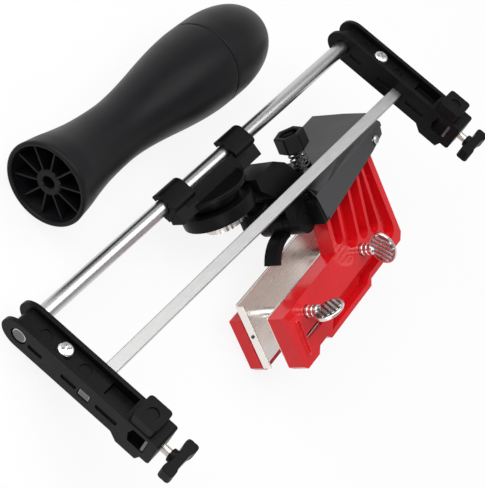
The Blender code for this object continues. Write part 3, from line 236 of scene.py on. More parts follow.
world = bpy.data.worlds.new("studio")
bpy.context.scene.world = world
world.use_nodes = True
tree = world.node_tree
tree.nodes.clear()
direction = add_node(tree, "ShaderNodeTexCoord", {}, "Generated")
height = add_node(tree, "ShaderNodeSeparateXYZ", {0: direction}, "Z")
overhead = spread(tree, height, HORIZON_END, OVERHEAD_START, interpolation_type="SMOOTHSTEP")
sky = blend_colors(tree, overhead, WHITE, OVERHEAD_GREY)
eye = add_node(tree, "ShaderNodeLightPath", {}, "Is Camera Ray")
backdrop = add_node(tree, "ShaderNodeBackground", {"Color": blend_colors(tree, eye, sky, WHITE)})
room = add_node(tree, "ShaderNodeBackground", {"Color": ROOM_TINT, "Strength": ROOM_LIGHT})
surface = add_node(tree, "ShaderNodeMixShader", {0: seen_by_eye_or_gloss(tree), 1: room, 2: backdrop})
add_node(tree, "ShaderNodeOutputWorld", {"Surface": surface})
print("room light:", ROOM_LIGHT)

# %% [markdown]
# Three large soft lamps give the broad highlights: one behind and above for the rims,
# one overhead, and a weak one beside the camera.

# %% Lamps


def soft_lamp(name, direction, distance, size, power):
    """A square lamp that faces the part's middle, placed by a direction in scene coordinates."""
    lamp = bpy.data.objects.new(name, bpy.data.lights.new(name, "AREA"))
    bpy.context.scene.collection.objects.link(lamp)
    lamp.data.size = size
    lamp.data.energy = power
    aim = Vector(direction).normalized()
    lamp.location = aim * distance
    lamp.rotation_mode = "QUATERNION"
    lamp.rotation_quaternion = aim.to_track_quat("Z", "Y")


soft_lamp("window lamp", (-0.35, 0.8, 0.75), distance=1.1, size=0.9, power=9.5)
soft_lamp("overhead lamp", (0.25, 0.1, 1.0), distance=1.2, size=0.9, power=7.5)
soft_lamp("side lamp", (-0.9, -0.55, 0.6), distance=1.3, size=0.5, power=3.0)
print("lamps:", len(bpy.data.lights))

# %% [markdown]
# Several finishes share the same small effects, so each effect is a node group that is
# made once. Grain gives the fine unevenness of a moulded or sprayed surface, blotches
# give slow changes of colour and gloss, and streaks give the lines that drawing or
# grinding leaves along a metal bar.

# %% Shared shader groups


def new_group(name, inputs, outputs):
    """A new group, the outputs of its input node, and a point on the object. A tuple stands for a colour."""
    group = bpy.data.node_groups.new(name, "ShaderNodeTree")
    for way, sockets in (("INPUT", inputs), ("OUTPUT", outputs)):
        for socket, value in sockets.items():
            kind = "NodeSocketColor" if isinstance(value, tuple) else "NodeSocketFloat"
            group.interface.new_socket(name=socket, in_out=way, socket_type=kind).default_value = value
    return group, group.nodes.new("NodeGroupInput").outputs, add_node(group, "ShaderNodeTexCoord", {}, "Object")


def noise_in(group, point, scale, detail, roughness):
    inputs = {"Vector": point, "Scale": scale, "Detail": detail, "Roughness": roughness}
    return add_node(group, "ShaderNodeTexNoise", inputs, "Fac")


# Noise seldom leaves these two values, so a roughness range is spread between them
NOISE_RANGE = (0.3, 0.7)

grain_group, entry, point = new_group("surface grain", {"Scale": 1500.0, "Strength": 0.1}, {"Height": 0.0})
noise = noise_in(grain_group, point, entry["Scale"], 3.0, 0.55)
height = add_node(grain_group, "ShaderNodeMath", {0: noise, 1: entry["Strength"]}, operation="MULTIPLY")
add_node(grain_group, "NodeGroupOutput", {"Height": height})

inputs = {"Scale": 60.0, "Dark": WHITE, "Light": WHITE, "Low": 0.4, "High": 0.5}
blotch_group, entry, point = new_group("slow blotches", inputs, {"Color": WHITE, "Roughness": 0.5})
noise = noise_in(blotch_group, point, entry["Scale"], 5.0, 0.6)
tint = blend_colors(blotch_group, noise, entry["Dark"], entry["Light"])
gloss = spread(blotch_group, noise, *NOISE_RANGE, entry["Low"], entry["High"])
add_node(blotch_group, "NodeGroupOutput", {"Color": tint, "Roughness": gloss})

streak_group, entry, point = new_group("drawn streaks", {"Fineness": 900.0, "Stretch": 0.01}, {"Streak": 0.0})
ratios = add_node(streak_group, "ShaderNodeCombineXYZ", {"X": entry["Stretch"], "Y": 1.0, "Z": 1.0})
point = add_node(streak_group, "ShaderNodeVectorMath", {0: point, 1: ratios}, operation="MULTIPLY")
noise = noise_in(streak_group, point, entry["Fineness"], 4.0, 0.65)
add_node(streak_group, "NodeGroupOutput", {"Streak": noise})
print("shader groups:", [group.name for group in bpy.data.node_groups])

# %% [markdown]
# A finish starts from the Principled shader. The blotch group feeds its colour and
# roughness, and the grain group feeds a Bump node. Cast parts under red enamel get a
# clear coat and a slow orange-peel wave, moulded black plastic gets finer grain and no
# coat, and the folded roof gets a dull powder coat.

# %% Painted and moulded finishes
COAT_ROUGHNESS = 0.08


def plain_shader(name):
    material = bpy.data.materials.new(name)
    material.use_nodes = True
    return material, material.node_tree, material.node_tree.nodes["Principled BSDF"]


def bump_from(tree, height, depth):
    return add_node(tree, "ShaderNodeBump", {"Height": height, "Distance": depth, "Strength": 1.0})


def coated(name, dark, light, rough, blotch_scale, grain_scale, grain_depth, shine=0.2, coat=0.0):
    """A paint or plastic: two close colours, a roughness range, and grain of one scale and depth in metres."""
    material, tree, shader = plain_shader(name)
    inputs = {"Scale": blotch_scale, "Dark": (*dark, 1), "Light": (*light, 1), "Low": rough[0], "High": rough[1]}
    color = add_node(tree, "ShaderNodeGroup", inputs, "Color", node_tree=blotch_group)
    inputs = {"Scale": grain_scale, "Strength": 1.0}
    grain = add_node(tree, "ShaderNodeGroup", inputs, "Height", node_tree=grain_group)
    look = {"Base Color": color, "Roughness": color.node.outputs["Roughness"], "Specular IOR Level": shine}
    look |= {"Coat Weight": coat, "Coat Roughness": COAT_ROUGHNESS, "Normal": bump_from(tree, grain, grain_depth)}
    set_inputs(tree, shader, look)
    return material


red_enamel = coated(
    "red enamel", (0.6, 0.004, 0.008), (0.72, 0.008, 0.014), (0.18, 0.3), 90.0, 300.0, 0.0001, 0.15, 0.35
)
black_plastic = coated(
    "black moulded plastic", (0.002, 0.002, 0.0025), (0.006, 0.006, 0.0065), (0.32, 0.46), 120.0, 1500.0, 6e-5, 0.1
)
handle_plastic = coated(
    "black handle plastic", (0.003, 0.003, 0.004), (0.006, 0.006, 0.007), (0.34, 0.46), 60.0, 2200.0, 0.00003, 0.15
)
dark_grey = coated(
    "dark grey powder coat", (0.045, 0.045, 0.047), (0.062, 0.062, 0.064), (0.46, 0.58), 70.0, 2600.0, 0.00003
)

# %% [markdown]
# Bare metals differ in how they were made. The rod is plated and polished, so its
# streaks are faint and mostly change its gloss. The flat bar is drawn steel with clear
# lengthwise lines. The bolt, washer and nut are zinc plated, with a warmer and blotchier
# shine. The chain plates are polished sheet, and the thumb screws' wings and the pan-head
# screws are pressed steel, which is paler and more even.

# %% Metal finishes


def metal(name, dark, light, rough, fineness, stretch, depth):
    material, tree, shader = plain_shader(name)
    inputs = {"Fineness": fineness, "Stretch": stretch}
    streak = add_node(tree, "ShaderNodeGroup", inputs, "Streak", node_tree=streak_group)
    look = {"Metallic": 1.0, "Base Color": blend_colors(tree, streak, (*dark, 1), (*light, 1))}
    look |= {"Roughness": spread(tree, streak, *NOISE_RANGE, *rough), "Normal": bump_from(tree, streak, depth)}
    set_inputs(tree, shader, look)
    return material


polished_chrome = metal("polished chrome", (0.52, 0.52, 0.53), (0.6, 0.6, 0.6), (0.26, 0.3), 420.0, 0.004, 5e-7)
drawn_steel = metal("drawn steel", (0.36, 0.36, 0.36), (0.58, 0.58, 0.57), (0.36, 0.5), 2400.0, 0.05, 0.00001)
# One dark steel serves the file pads and the height screw, and is also painted shade on the rod and bar ends and in
# the thumb screws' grooves.
dark_steel_and_painted_shade = metal("dark steel and painted shade", (0.08, 0.08, 0.08), (0.2, 0.2, 0.2), (0.3, 0.45), 600.0, 0.5, 0.00001)
zinc_steel = metal("zinc plated steel", (0.5, 0.47, 0.44), (0.78, 0.75, 0.71), (0.2, 0.34), 420.0, 0.3, 0.00002)
warm_plate = metal("polished plate", (0.84, 0.79, 0.75), (0.9, 0.85, 0.81), (0.24, 0.3), 160.0, 0.1, 0.000001)
bright_screw = metal("bright screw plating", (0.6, 0.58, 0.54), (0.85, 0.83, 0.79), (0.14, 0.28), 800.0, 0.7, 1e-5)
pressed_steel = metal("pressed steel", (0.66, 0.65, 0.64), (0.76, 0.75, 0.73), (0.22, 0.3), 300.0, 0.6, 2e-6)
spring_wire = metal("spring wire", (0.03, 0.03, 0.03), (0.1, 0.1, 0.1), (0.28, 0.42), 900.0, 0.5, 0.00001)
print("finishes:", len(bpy.data.materials) - 1)

# %% [markdown]
# The CAD nodes keep their shape, but no casting has knife edges. Welding joins the
# corners that the file format split, a flat dissolve takes out the needless triangle
# edges, and a small bevel then rounds every edge that turns more than a set angle.

# %% Rounded edges and finishes on the CAD nodes
WELD_DISTANCE = 0.00002
FLAT_DEGREES = 1
EDGE_DEGREES = 35


def round_edges(obj, width, segments=3, degrees=EDGE_DEGREES):
    bevel = obj.modifiers.new("rounded edges", "BEVEL")
    bevel.width = width
    bevel.segments = segments
    bevel.limit_method = "ANGLE"
    bevel.angle_limit = math.radians(degrees)
    bevel.harden_normals = True


def paint(obj, material):
    obj.data.materials.clear()
    obj.data.materials.append(material)


def dress_node(name, material, width):
    obj = nodes[name]
    paint(obj, material)
    weld = obj.modifiers.new("joined corners", "WELD")
    weld.merge_threshold = WELD_DISTANCE
    flat = obj.modifiers.new("flat faces", "DECIMATE")
    flat.decimate_type = "DISSOLVE"
    flat.angle_limit = math.radians(FLAT_DEGREES)
    round_edges(obj, width)


NODE_DRESS = {
    "front_jaw": (red_enamel, 0.0009),
    "rear_jaw": (red_enamel, 0.0012),
    "front_chain_plate": (warm_plate, 0.0002),
    "scale_plate": (dark_grey, 0.0003),
    "skirt_rivet": (bright_screw, 0.0002),
    "hinge_block": (black_plastic, 0.0005),
    "barrel_pin": (black_plastic, 0.0002),
    "chain_pawl": (black_plastic, 0.0005),
    "arm": (black_plastic, 0.0006),
    "pivot_bolt": (zinc_steel, 0.0002),
    "pivot_nut": (zinc_steel, 0.0001),
    "pivot_washer": (zinc_steel, 0.0001),
    "near_file_pad": (dark_steel_and_painted_shade, 0.0002),
    "far_file_pad": (dark_steel_and_painted_shade, 0.0002),
}
for name, (material, width) in NODE_DRESS.items():
    dress_node(name, material, width)
print("dressed nodes:", len(NODE_DRESS))

# %% [markdown]
# Turned pieces start as a profile: pairs of radius and height. A smooth curve through a
# few measured points gives the many points that a polished curve needs, and one helper
# turns any profile about its axis. Another helper makes a prism from an outline, and the
# last one puts the finished mesh on its body and hides the plain node that it stands for.

# %% Helpers for new pieces
TURN_STEPS = 96
SHARP_ANGLE = math.radians(32)

# A profile turned in one of these places has its axis along X or along Y
along_x = Matrix.Rotation(math.pi / 2, 4, "Y")
along_y = Matrix.Rotation(-math.pi / 2, 4, "X")


def smooth_line(points, steps=6):
    """A smooth curve through the points."""
    line = []
    held = [points[0], *points, points[-1]]
    for group in zip(held, held[1:], held[2:], held[3:]):
        for i in range(steps):
            t = i / steps
            spot = []
            for before, start, end, after in zip(*group):
                bend = 2 * before - 5 * start + 4 * end - after
                twist = 3 * start - before - 3 * end + after
                spot.append(0.5 * (2 * start + (end - before) * t + bend * t * t + twist * t**3))
            line.append(tuple(spot))
    line.append(tuple(points[-1]))
    return line


def round_corner(center, radius, start_deg, end_deg, steps=5):
    """Points of an arc, for a rounded corner of a profile or outline."""
    angles = [math.radians(start_deg + (end_deg - start_deg) * i / steps) for i in range(steps + 1)]
    return [(center[0] + radius * math.cos(angle), center[1] + radius * math.sin(angle)) for angle in angles]


def turn_profile(shape, profile, place=None, steps=TURN_STEPS, closed=False):
    """Adds a profile of (radius, height) turned about Z; an end at radius 0 closes to a point."""
    rings = []
    for radius, height in profile:
        count = 1 if radius < 1e-7 else steps
        ring = []
        for i in range(count):
            angle = 2 * math.pi * i / steps
            spot = Vector((radius * math.cos(angle), radius * math.sin(angle), height))
            ring.append(shape.verts.new(place @ spot if place else spot))
        rings.append(ring)
    pairs = list(zip(rings, rings[1:]))
    if closed:
        pairs.append((rings[-1], rings[0]))
    for first, second in pairs:
        for i in range(steps):
            j = (i + 1) % steps
            corners = [first[i % len(first)], first[j % len(first)]]
            corners += [second[j % len(second)], second[i % len(second)]]
            shape.faces.new(list(dict.fromkeys(corners)))
    return shape


def peg(radius, start, end, place, steps=32):
    """A plain round bar along the place's Z."""
    return turn_profile(bmesh.new(), [(0.0, start), (radius, start), (radius, end), (0.0, end)], place, steps)


def join_rings(shape, pairs):
    """Joins pairs of equal rings of corners with faces."""
    for first, second in pairs:
        for i in range(len(first)):
            j = (i + 1) % len(first)
            shape.faces.new((first[i], first[j], second[j], second[i]))


def add_prism(shape, outline, low, high, place=None):
    """Adds an outline of (x, y) drawn out along Z from low to high."""
    ends = []
    for height in (low, high):
        spots = [Vector((x, y, height)) for x, y in outline]
        ends.append([shape.verts.new(place @ spot if place else spot) for spot in spots])
    shape.faces.new(list(reversed(ends[0])))
    shape.faces.new(ends[1])
    join_rings(shape, [ends])
    return shape


def prism(*args):
    """A prism as a new shape."""
    return add_prism(bmesh.new(), *args)


def turned(*args, **options):
    """A turned profile as a new shape."""
    return turn_profile(bmesh.new(), *args, **options)


def finish_piece(name, shape, place, material, body, slot, *replaced, rounded=None):
    """Makes the mesh an object at its place, riding its body, in place of the named nodes.

    rounded holds the edges' width, segments and least angle in degrees for round_edges.
    """
    bmesh.ops.recalc_face_normals(shape, faces=shape.faces)
    mesh = bpy.data.meshes.new(name)
    shape.to_mesh(mesh)
    shape.free()
    mesh.shade_smooth()
    mesh.set_sharp_from_angle(angle=SHARP_ANGLE)
    obj = bpy.data.objects.new(name, mesh)
    bpy.context.scene.collection.objects.link(obj)
    obj.matrix_world = place
    bpy.context.view_layer.update()
    paint(obj, material)
    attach(obj, body)
    if replaced:
        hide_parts(*replaced)
    if rounded:
        round_edges(obj, *rounded)
    return obj


print("turning steps:", TURN_STEPS)

# %% [markdown]
# The handle is moulded in two parts: a waisted grip that flares to a bell mouth, and a
# domed cap. Both are turned from smooth curves. The seam shows as a thin ring groove,
# because each part's edge there is rounded, so the groove is modelled, not painted.

# %% Handle profiles
HANDLE_LENGTH = 0.1635
HANDLE_SEAM = 0.117
HANDLE_RADIUS = 0.0209
MOUTH_RADIUS = 0.0193
SEAM_LIP = 0.0007
SEAM_GAP = 0.0003

outside = [(0.0189, 0.0038), (0.01806, 0.0098), (0.0165, 0.018), (0.01501, 0.0278), (0.01408, 0.0392)]
outside += [(0.0138, 0.0507), (0.01458, 0.0621), (0.01628, 0.0752), (0.01834, 0.0883), (0.01984, 0.0997)]
outside += [(0.02069, 0.1095), (HANDLE_RADIUS, HANDLE_SEAM - SEAM_LIP)]
MOUTH_INSIDE = 0.0170
MOUTH_DEPTH = 0.0108
THROAT_RADIUS = 0.0148
HUB_RADIUS = 0.0060
SOCKET_RADIUS = 0.0028
SOCKET_DEPTH = 0.045
rim_radius = (MOUTH_RADIUS - MOUTH_INSIDE) / 2
rim_center = ((MOUTH_RADIUS + MOUTH_INSIDE) / 2, rim_radius)
rim = round_corner(rim_center, rim_radius, 180, 360, 8)
hub_top = 0.0022
profile = [(0.0, SOCKET_DEPTH), (SOCKET_RADIUS, SOCKET_DEPTH), (SOCKET_RADIUS, hub_top + 0.0005)]
profile += [(SOCKET_RADIUS + 0.0005, hub_top), (HUB_RADIUS - 0.0006, hub_top), (HUB_RADIUS, hub_top + 0.0006)]
profile += [(HUB_RADIUS + 0.0004, MOUTH_DEPTH - 0.0008), (HUB_RADIUS + 0.0012, MOUTH_DEPTH)]
profile += [(THROAT_RADIUS - 0.0012, MOUTH_DEPTH), (THROAT_RADIUS, MOUTH_DEPTH - 0.0014)]
profile += rim
profile += smooth_line(outside)
profile += round_corner((HANDLE_RADIUS - SEAM_LIP, HANDLE_SEAM - SEAM_LIP), SEAM_LIP, 0, 90)[1:]
profile += [(0.0, HANDLE_SEAM)]

# %% [markdown]
# Ten thin ribs stiffen the mouth. On the real moulding they taper a little towards the
# opening, so each is a narrow wedge with its edge rounded by the bevel.

# %% Handle grip with its ribs
RIB_COUNT = 10
RIB_FOOT = 0.0016
RIB_EDGE = 0.0009
RIB_SUNK = 0.0004
HANDLE_STEPS = 144
grip = turned(profile, steps=HANDLE_STEPS)
foot = [(-MOUTH_DEPTH - RIB_SUNK, -RIB_FOOT / 2), (-hub_top, -RIB_EDGE / 2)]
outline = foot + [(x, -y) for x, y in reversed(foot)]
for i in range(RIB_COUNT):
    turn = Matrix.Rotation(2 * math.pi * i / RIB_COUNT, 4, "Z") @ along_x
    add_prism(grip, outline, HUB_RADIUS - 0.001, MOUTH_INSIDE + RIB_SUNK, turn)
names = ("handle", "handle_black", "handle_body")
finish_piece("handle_grip", grip, handle_place, handle_plastic, *names, rounded=(0.0002, 2, 50))
print("grip ribs:", RIB_COUNT)

# %% [markdown]
# The cap is a dome with a soft nose. Its open edge at the seam has the same small
# radius as the grip's, so light catches both sides of the groove.

# %% Handle cap
cap_start = HANDLE_SEAM + SEAM_GAP
cap_length = HANDLE_LENGTH - cap_start
dome = [(1.0, 0.04), (1.0, 0.15), (0.992, 0.32), (0.955, 0.48), (0.885, 0.63), (0.78, 0.76)]
dome += [(0.63, 0.87), (0.44, 0.945), (0.23, 0.987), (0.0, 1.0)]
dome = [(radius * HANDLE_RADIUS, cap_start + along * cap_length) for radius, along in dome]
profile = [(0.0, cap_start)]
profile += round_corner((HANDLE_RADIUS - SEAM_LIP, cap_start + SEAM_LIP), SEAM_LIP, -90, 0)
profile += smooth_line(dome)[1:]
profile[-1] = (0.0, HANDLE_LENGTH)
cap = turned(profile, steps=HANDLE_STEPS)
finish_piece("handle_dome", cap, handle_place, handle_plastic, "handle", "handle_black", "handle_cap")
print("cap length:", round(cap_length, 4))

# %% [markdown]
# The rod and the flat bar are drawn stock, so their faint lines must run along them.
# Each is made again in the file frame's own directions, where X is the rod's axis, and
# the streak group then follows it. The bar's long edges are rounded as drawing leaves them.

# %% Guide rod and flat bar
FRAME_SPAN = 0.228
BRACKET_WIDTH = 0.013
END_GAP = 0.0003
ROD_RADIUS = 0.0035
ROD_END_ROUND = 0.0006
BAR_OFFSET = 0.0344
BAR_WIDTH = 0.0054
BAR_THICKNESS = 0.004
BAR_BELOW_TOP = 0.0062

rod_start = -BRACKET_WIDTH + END_GAP
rod_end = FRAME_SPAN + BRACKET_WIDTH - END_GAP
flat_radius = ROD_RADIUS - ROD_END_ROUND
profile = [(0.0, rod_start)]
profile += round_corner((flat_radius, rod_start + ROD_END_ROUND), ROD_END_ROUND, -90, 0)
profile += round_corner((flat_radius, rod_end - ROD_END_ROUND), ROD_END_ROUND, 0, 90)
profile += [(0.0, rod_end)]
rod_turn = Matrix.Translation((0, 0, -ROD_BELOW_TOP)) @ along_x
rod = turned(profile, rod_turn, 64)
finish_piece("polished_rod", rod, frame_place, polished_chrome, "guide_rod", "bright_chrome", "guide_rod")


def round_box_outline(width, height, radius, center=(0, 0), steps=5):
    """A rectangle with round corners as (x, y) points."""
    points = []
    for side, top, start in ((1, 1, 0), (-1, 1, 90), (-1, -1, 180), (1, -1, 270)):
        corner = (center[0] + side * (width / 2 - radius), center[1] + top * (height / 2 - radius))
        points += round_corner(corner, radius, start, start + 90, steps)
    return points


bar_top = -BAR_BELOW_TOP
bar = [(-BAR_OFFSET - BAR_WIDTH / 2, bar_top), (-BAR_OFFSET + BAR_WIDTH / 2, bar_top)]
bar += [(y, z - BAR_THICKNESS) for y, z in reversed(bar)]
bar = [(-z, y) for y, z in bar]
stock = prism(bar, rod_start, rod_end, along_x)
names = ("file_frame", "bar_steel", "flat_bar")
finish_piece("drawn_bar", stock, frame_place, drawn_steel, *names, rounded=(0.0004,))
print("rod length:", round(rod_end - rod_start, 4))

# %% [markdown]
# A very thin dark face on each end of the rod and of the bar is painted shade that makes
# the ends dim, a little smaller than the stock itself.

# %% Painted shade on the rod and bar ends
END_SHADE_THICKNESS = 0.00006
END_SHADE_THICK_SHARE = 0.8
END_SHADE_WIDE_SHARE = 0.85

middle_x = (bar[0][0] + bar[2][0]) / 2
middle_y = -BAR_OFFSET
end_shade_outline = []
for x, y in bar:
    end_shade_outline.append((middle_x + (x - middle_x) * END_SHADE_THICK_SHARE, middle_y + (y - middle_y) * END_SHADE_WIDE_SHARE))
# Painted shade: a thin dark face on each end of the rod and the bar.
for low, high in ((rod_start - END_SHADE_THICKNESS, rod_start), (rod_end, rod_end + END_SHADE_THICKNESS)):
    rod_face = peg(flat_radius, low, high, rod_turn, 40)
    finish_piece("shaded_rod_end", rod_face, frame_place, dark_steel_and_painted_shade, "guide_rod", "spring_steel")
    bar_face = prism(end_shade_outline, low, high, along_x)
    finish_piece("shaded_bar_end", bar_face, frame_place, dark_steel_and_painted_shade, "file_frame", "bar_steel")
print("end shade face:", END_SHADE_THICKNESS)

# %% [markdown]
# A thumb screw is turned from bar and its end is pressed flat into a wing. The turned
# part keeps fine rings from the tool, and the wing has slanting ridges for the thumb.
# The wing is built from stacked outlines that shrink towards each face, which gives the
# thin rounded edge of pressed metal.

# %% Thumb screws
STEM_RADIUS = 0.0028
STEM_REACH = 0.0066
STEM_CHAMFER = 0.0005
STEM_FOOT = -0.0003
SHANK_RADIUS = 0.00275
SHANK_END = 0.0299
STEM_GROOVES = (-0.0042, -0.0018)
GROOVE_DEPTH = 0.00018
GROOVE_WIDTH = 0.0004
WING_HALF_LENGTH = 0.00825
WING_HALF_WIDTH = 0.00675
WING_CENTER = 0.01155
WING_FACE = 0.0007
WING_LAYERS = [(0.88, -WING_FACE), (0.96, -WING_FACE - 0.0001), (1.0, -0.0004)]
GROOVE_SHADE_RISE = 0.00012
GROOVE_SHADE_SHARE = 0.84
RIDGE_SPREAD = 0.7
RIDGE_SHARE = 0.96
RIDGE_COUNT = 5
RIDGE_STEP = 0.0023
RIDGE_WIDTH = 0.0012
RIDGE_TOP = 0.0012
RIDGE_SLANT = math.radians(52)


def add_layers(shape, outline, layers, place):
    """Stacks copies of an outline, each scaled and raised, and closes both ends."""
    rings = []
    for scale, height in layers:
        rings.append([shape.verts.new(place @ Vector((x * scale, y * scale, height))) for x, y in outline])
    join_rings(shape, zip(rings, rings[1:]))
    shape.faces.new(rings[0])
    shape.faces.new(rings[-1])


def stem_profile():
    """A plain turned stem with two ring grooves, then the shank inside the jaws."""
    deep = STEM_RADIUS - GROOVE_DEPTH
    end = -STEM_REACH
    profile = [(0.0, end), (STEM_RADIUS - STEM_CHAMFER, end), (STEM_RADIUS, end + STEM_CHAMFER)]
    for middle in STEM_GROOVES:
        profile += [(STEM_RADIUS, middle - GROOVE_WIDTH), (deep, middle - GROOVE_WIDTH / 3)]
        profile += [(deep, middle + GROOVE_WIDTH / 3), (STEM_RADIUS, middle + GROOVE_WIDTH)]
    profile += [(STEM_RADIUS, STEM_FOOT), (SHANK_RADIUS, STEM_FOOT), (SHANK_RADIUS, SHANK_END), (0.0, SHANK_END)]
    return profile


angles = [2 * math.pi * i / 48 for i in range(48)]
wing_outline = [(WING_HALF_LENGTH * math.cos(angle), WING_HALF_WIDTH * math.sin(angle)) for angle in angles]


def ridge_reach(offset, slant):
    """How far a slanting ridge may run each way before it meets the wing's edge."""
    side = Vector((math.cos(slant), math.sin(slant)))
    start = Vector((-side.y, side.x)) * offset
    a = (side.x / WING_HALF_LENGTH) ** 2 + (side.y / WING_HALF_WIDTH) ** 2
    b = 2 * (start.x * side.x / WING_HALF_LENGTH**2 + start.y * side.y / WING_HALF_WIDTH**2)
    c = (start.x / WING_HALF_LENGTH) ** 2 + (start.y / WING_HALF_WIDTH) ** 2 - RIDGE_SPREAD
    root = math.sqrt(b * b - 4 * a * c)
    return start, side, (-b - root) / (2 * a), (-b + root) / (2 * a)


def thumb_screw(name, along_x_place, up_place, wing_deg, slant):
    shape = bmesh.new()
    seat = Matrix.Translation((along_x_place, 0, up_place))
    turned_place = seat @ Matrix.Rotation(math.radians(wing_deg), 4, "Y")
    turn_profile(shape, stem_profile(), seat @ along_y, 48)
    wing_place = turned_place @ Matrix.Translation((0, -WING_CENTER, 0))
    other_half = [(scale, -height) for scale, height in reversed(WING_LAYERS)]
    add_layers(shape, wing_outline, WING_LAYERS + other_half, wing_place)
    for i in range(RIDGE_COUNT):
        start, side, back, ahead = ridge_reach((i - (RIDGE_COUNT - 1) / 2) * RIDGE_STEP, slant)
        low = start + side * (back * RIDGE_SHARE)
        high = start + side * (ahead * RIDGE_SHARE)
        edge = Vector((-side.y, side.x)) * RIDGE_WIDTH / 2
        corners = [low + edge, low - edge, high - edge, high + edge]
        add_prism(shape, corners, -RIDGE_TOP, RIDGE_TOP, wing_place)
    # Painted shade: a thin dark disc under the ridges darkens the grooves between them.
    floor_shape = bmesh.new()
    groove_shade_high = WING_FACE + GROOVE_SHADE_RISE
    layers = [(GROOVE_SHADE_SHARE, -groove_shade_high), (GROOVE_SHADE_SHARE, groove_shade_high)]
    add_layers(floor_shape, wing_outline, layers, wing_place)
    finish_piece(f"{name}_groove_painted_shade", floor_shape, clamp_place, dark_steel_and_painted_shade, name, "spring_steel")
    names = (name, "bright_chrome", name)
    finish_piece(f"{name}_wing", shape, clamp_place, pressed_steel, *names, rounded=(0.00022, 2, 40))


thumb_screw("near_thumb_screw", 0.0174, 0.0206, wing_deg=0.0, slant=RIDGE_SLANT)
thumb_screw("far_thumb_screw", 0.0717, 0.018, wing_deg=90.0, slant=math.pi - RIDGE_SLANT)
print("ridges on each wing:", RIDGE_COUNT)

# %% [markdown]
# The rear chain plate is thin polished sheet. At its near end it is folded forward into a
# narrow flange with a pin hole, which shows as the bright strip beside the red jaw. One
# outline is bent with a small radius and drawn up, so the fold has a real thickness.

# %% Rear chain plate with its folded end
PLATE_FRONT = 0.0214
PLATE_THICKNESS = 0.0009
PLATE_START = -0.0010
PLATE_END = 0.0732
PLATE_LOW = 0.003
PLATE_TOP = 0.0363
FOLD_REACH = 0.0042
FOLD_RADIUS = 0.0016
PIN_UP = 0.0205
PIN_PROFILE = [(0.0, -0.0001), (0.0006, -0.0001), (0.0007, 0.0), (0.0008, 0.0002), (0.0008, 0.0004), (0.0, 0.0004)]
SECOND_FRONT = 0.0231
SECOND_THICKNESS = 0.0006
SECOND_START = 0.002
SECOND_END = 0.0725
SECOND_LOW = 0.004

inner = FOLD_RADIUS - PLATE_THICKNESS
bend_center = (PLATE_START + FOLD_RADIUS, PLATE_FRONT + PLATE_THICKNESS - FOLD_RADIUS)
sheet_outline = [(PLATE_END, PLATE_FRONT + PLATE_THICKNESS)]
sheet_outline += round_corner(bend_center, FOLD_RADIUS, 90, 180, 6)
sheet_outline += [(PLATE_START, PLATE_FRONT - FOLD_REACH)]
sheet_outline += [(PLATE_START + PLATE_THICKNESS, PLATE_FRONT - FOLD_REACH)]
sheet_outline += round_corner(bend_center, inner, 180, 90, 6)
sheet_outline += [(PLATE_END, PLATE_FRONT)]
folded = prism(sheet_outline, PLATE_LOW, PLATE_TOP)
names = ("rear_jaw", "plate_steel", "rear_chain_plate")
finish_piece("folded_plate", folded, clamp_place, warm_plate, *names, rounded=(0.0002, 2))
pin_place = Matrix.Translation((PLATE_START, PLATE_FRONT - FOLD_REACH / 2, PIN_UP))
pin = turned(PIN_PROFILE, pin_place @ Matrix.Rotation(-math.pi / 2, 4, "Y"), 24)
finish_piece("plate_pin", pin, clamp_place, dark_grey, "rear_jaw", "dark_grey")
outline = [(SECOND_START, SECOND_FRONT), (SECOND_END, SECOND_FRONT)]
outline += [(x, y + SECOND_THICKNESS) for x, y in reversed(outline)]
second = prism(outline, SECOND_LOW, PLATE_TOP - 0.0003)
finish_piece("second_sheet", second, clamp_place, warm_plate, "rear_jaw", "plate_steel", rounded=(0.0001, 1))
print("fold reach:", FOLD_REACH)

# %% [markdown]
# The front jaw is a casting. A narrow looped bead stands on its face beside the near
# end, and a steel strip shows inside the slot. The bead is a closed path with a round
# section, half sunk in the face, which is how a casting's raised line looks.

# %% Bead and strip on the front jaw
BEAD_RADIUS = 0.0006
BEAD_SECTION = 8
BEAD_LEAN = math.radians(-4)
BEAD_ALONG = 0.0076
BEAD_UP = 0.0132
STRIP_FRONT = 0.0012
STRIP_BACK = 0.0024

lean_cos, lean_sin = math.cos(BEAD_LEAN), math.sin(BEAD_LEAN)
path = []
for x, z in round_box_outline(0.0024, 0.0175, 0.00119, (0, 0), 6):
    path.append((BEAD_ALONG + x * lean_cos - z * lean_sin, BEAD_UP + x * lean_sin + z * lean_cos))
bead = bmesh.new()
rings = []
for i, (x, z) in enumerate(path):
    ahead = (Vector(path[(i + 1) % len(path)]) - Vector(path[i - 1])).normalized()
    side = Vector((ahead.y, 0, -ahead.x))
    ring = []
    for j in range(BEAD_SECTION):
        angle = 2 * math.pi * j / BEAD_SECTION
        out = math.cos(angle) * side + math.sin(angle) * Vector((0, 1, 0))
        ring.append(bead.verts.new(Vector((x, 0, z)) + BEAD_RADIUS * out))
    rings.append(ring)
join_rings(bead, zip(rings, rings[1:] + rings[:1]))
finish_piece("jaw_bead", bead, clamp_place, red_enamel, "clamp", "red_enamel")
strip_outline = round_box_outline(0.0125, 0.0011, 0.0003, (0.0165, -0.0104), 2)
strip = prism(strip_outline, STRIP_FRONT, STRIP_BACK, along_y)
finish_piece("slot_strip", strip, clamp_place, bright_screw, "clamp", "plate_steel")
print("bead points:", len(path))

# %% [markdown]
# The brackets are moulded U-channels with round ends. Each starts as one thick slab in
# the bracket's outline, and the channel, the seats and the slots are cut from it with
# Booleans, because a mould's cores cut the real shape in the same way. The results are
# kept as plain meshes, so no helper stays in the scene.

# %% Cutting and joining shapes


def as_object(shape):
    bmesh.ops.recalc_face_normals(shape, faces=shape.faces)
    mesh = bpy.data.meshes.new("blank")
    shape.to_mesh(mesh)
    shape.free()
    obj = bpy.data.objects.new("blank", mesh)
    bpy.context.scene.collection.objects.link(obj)
    return obj


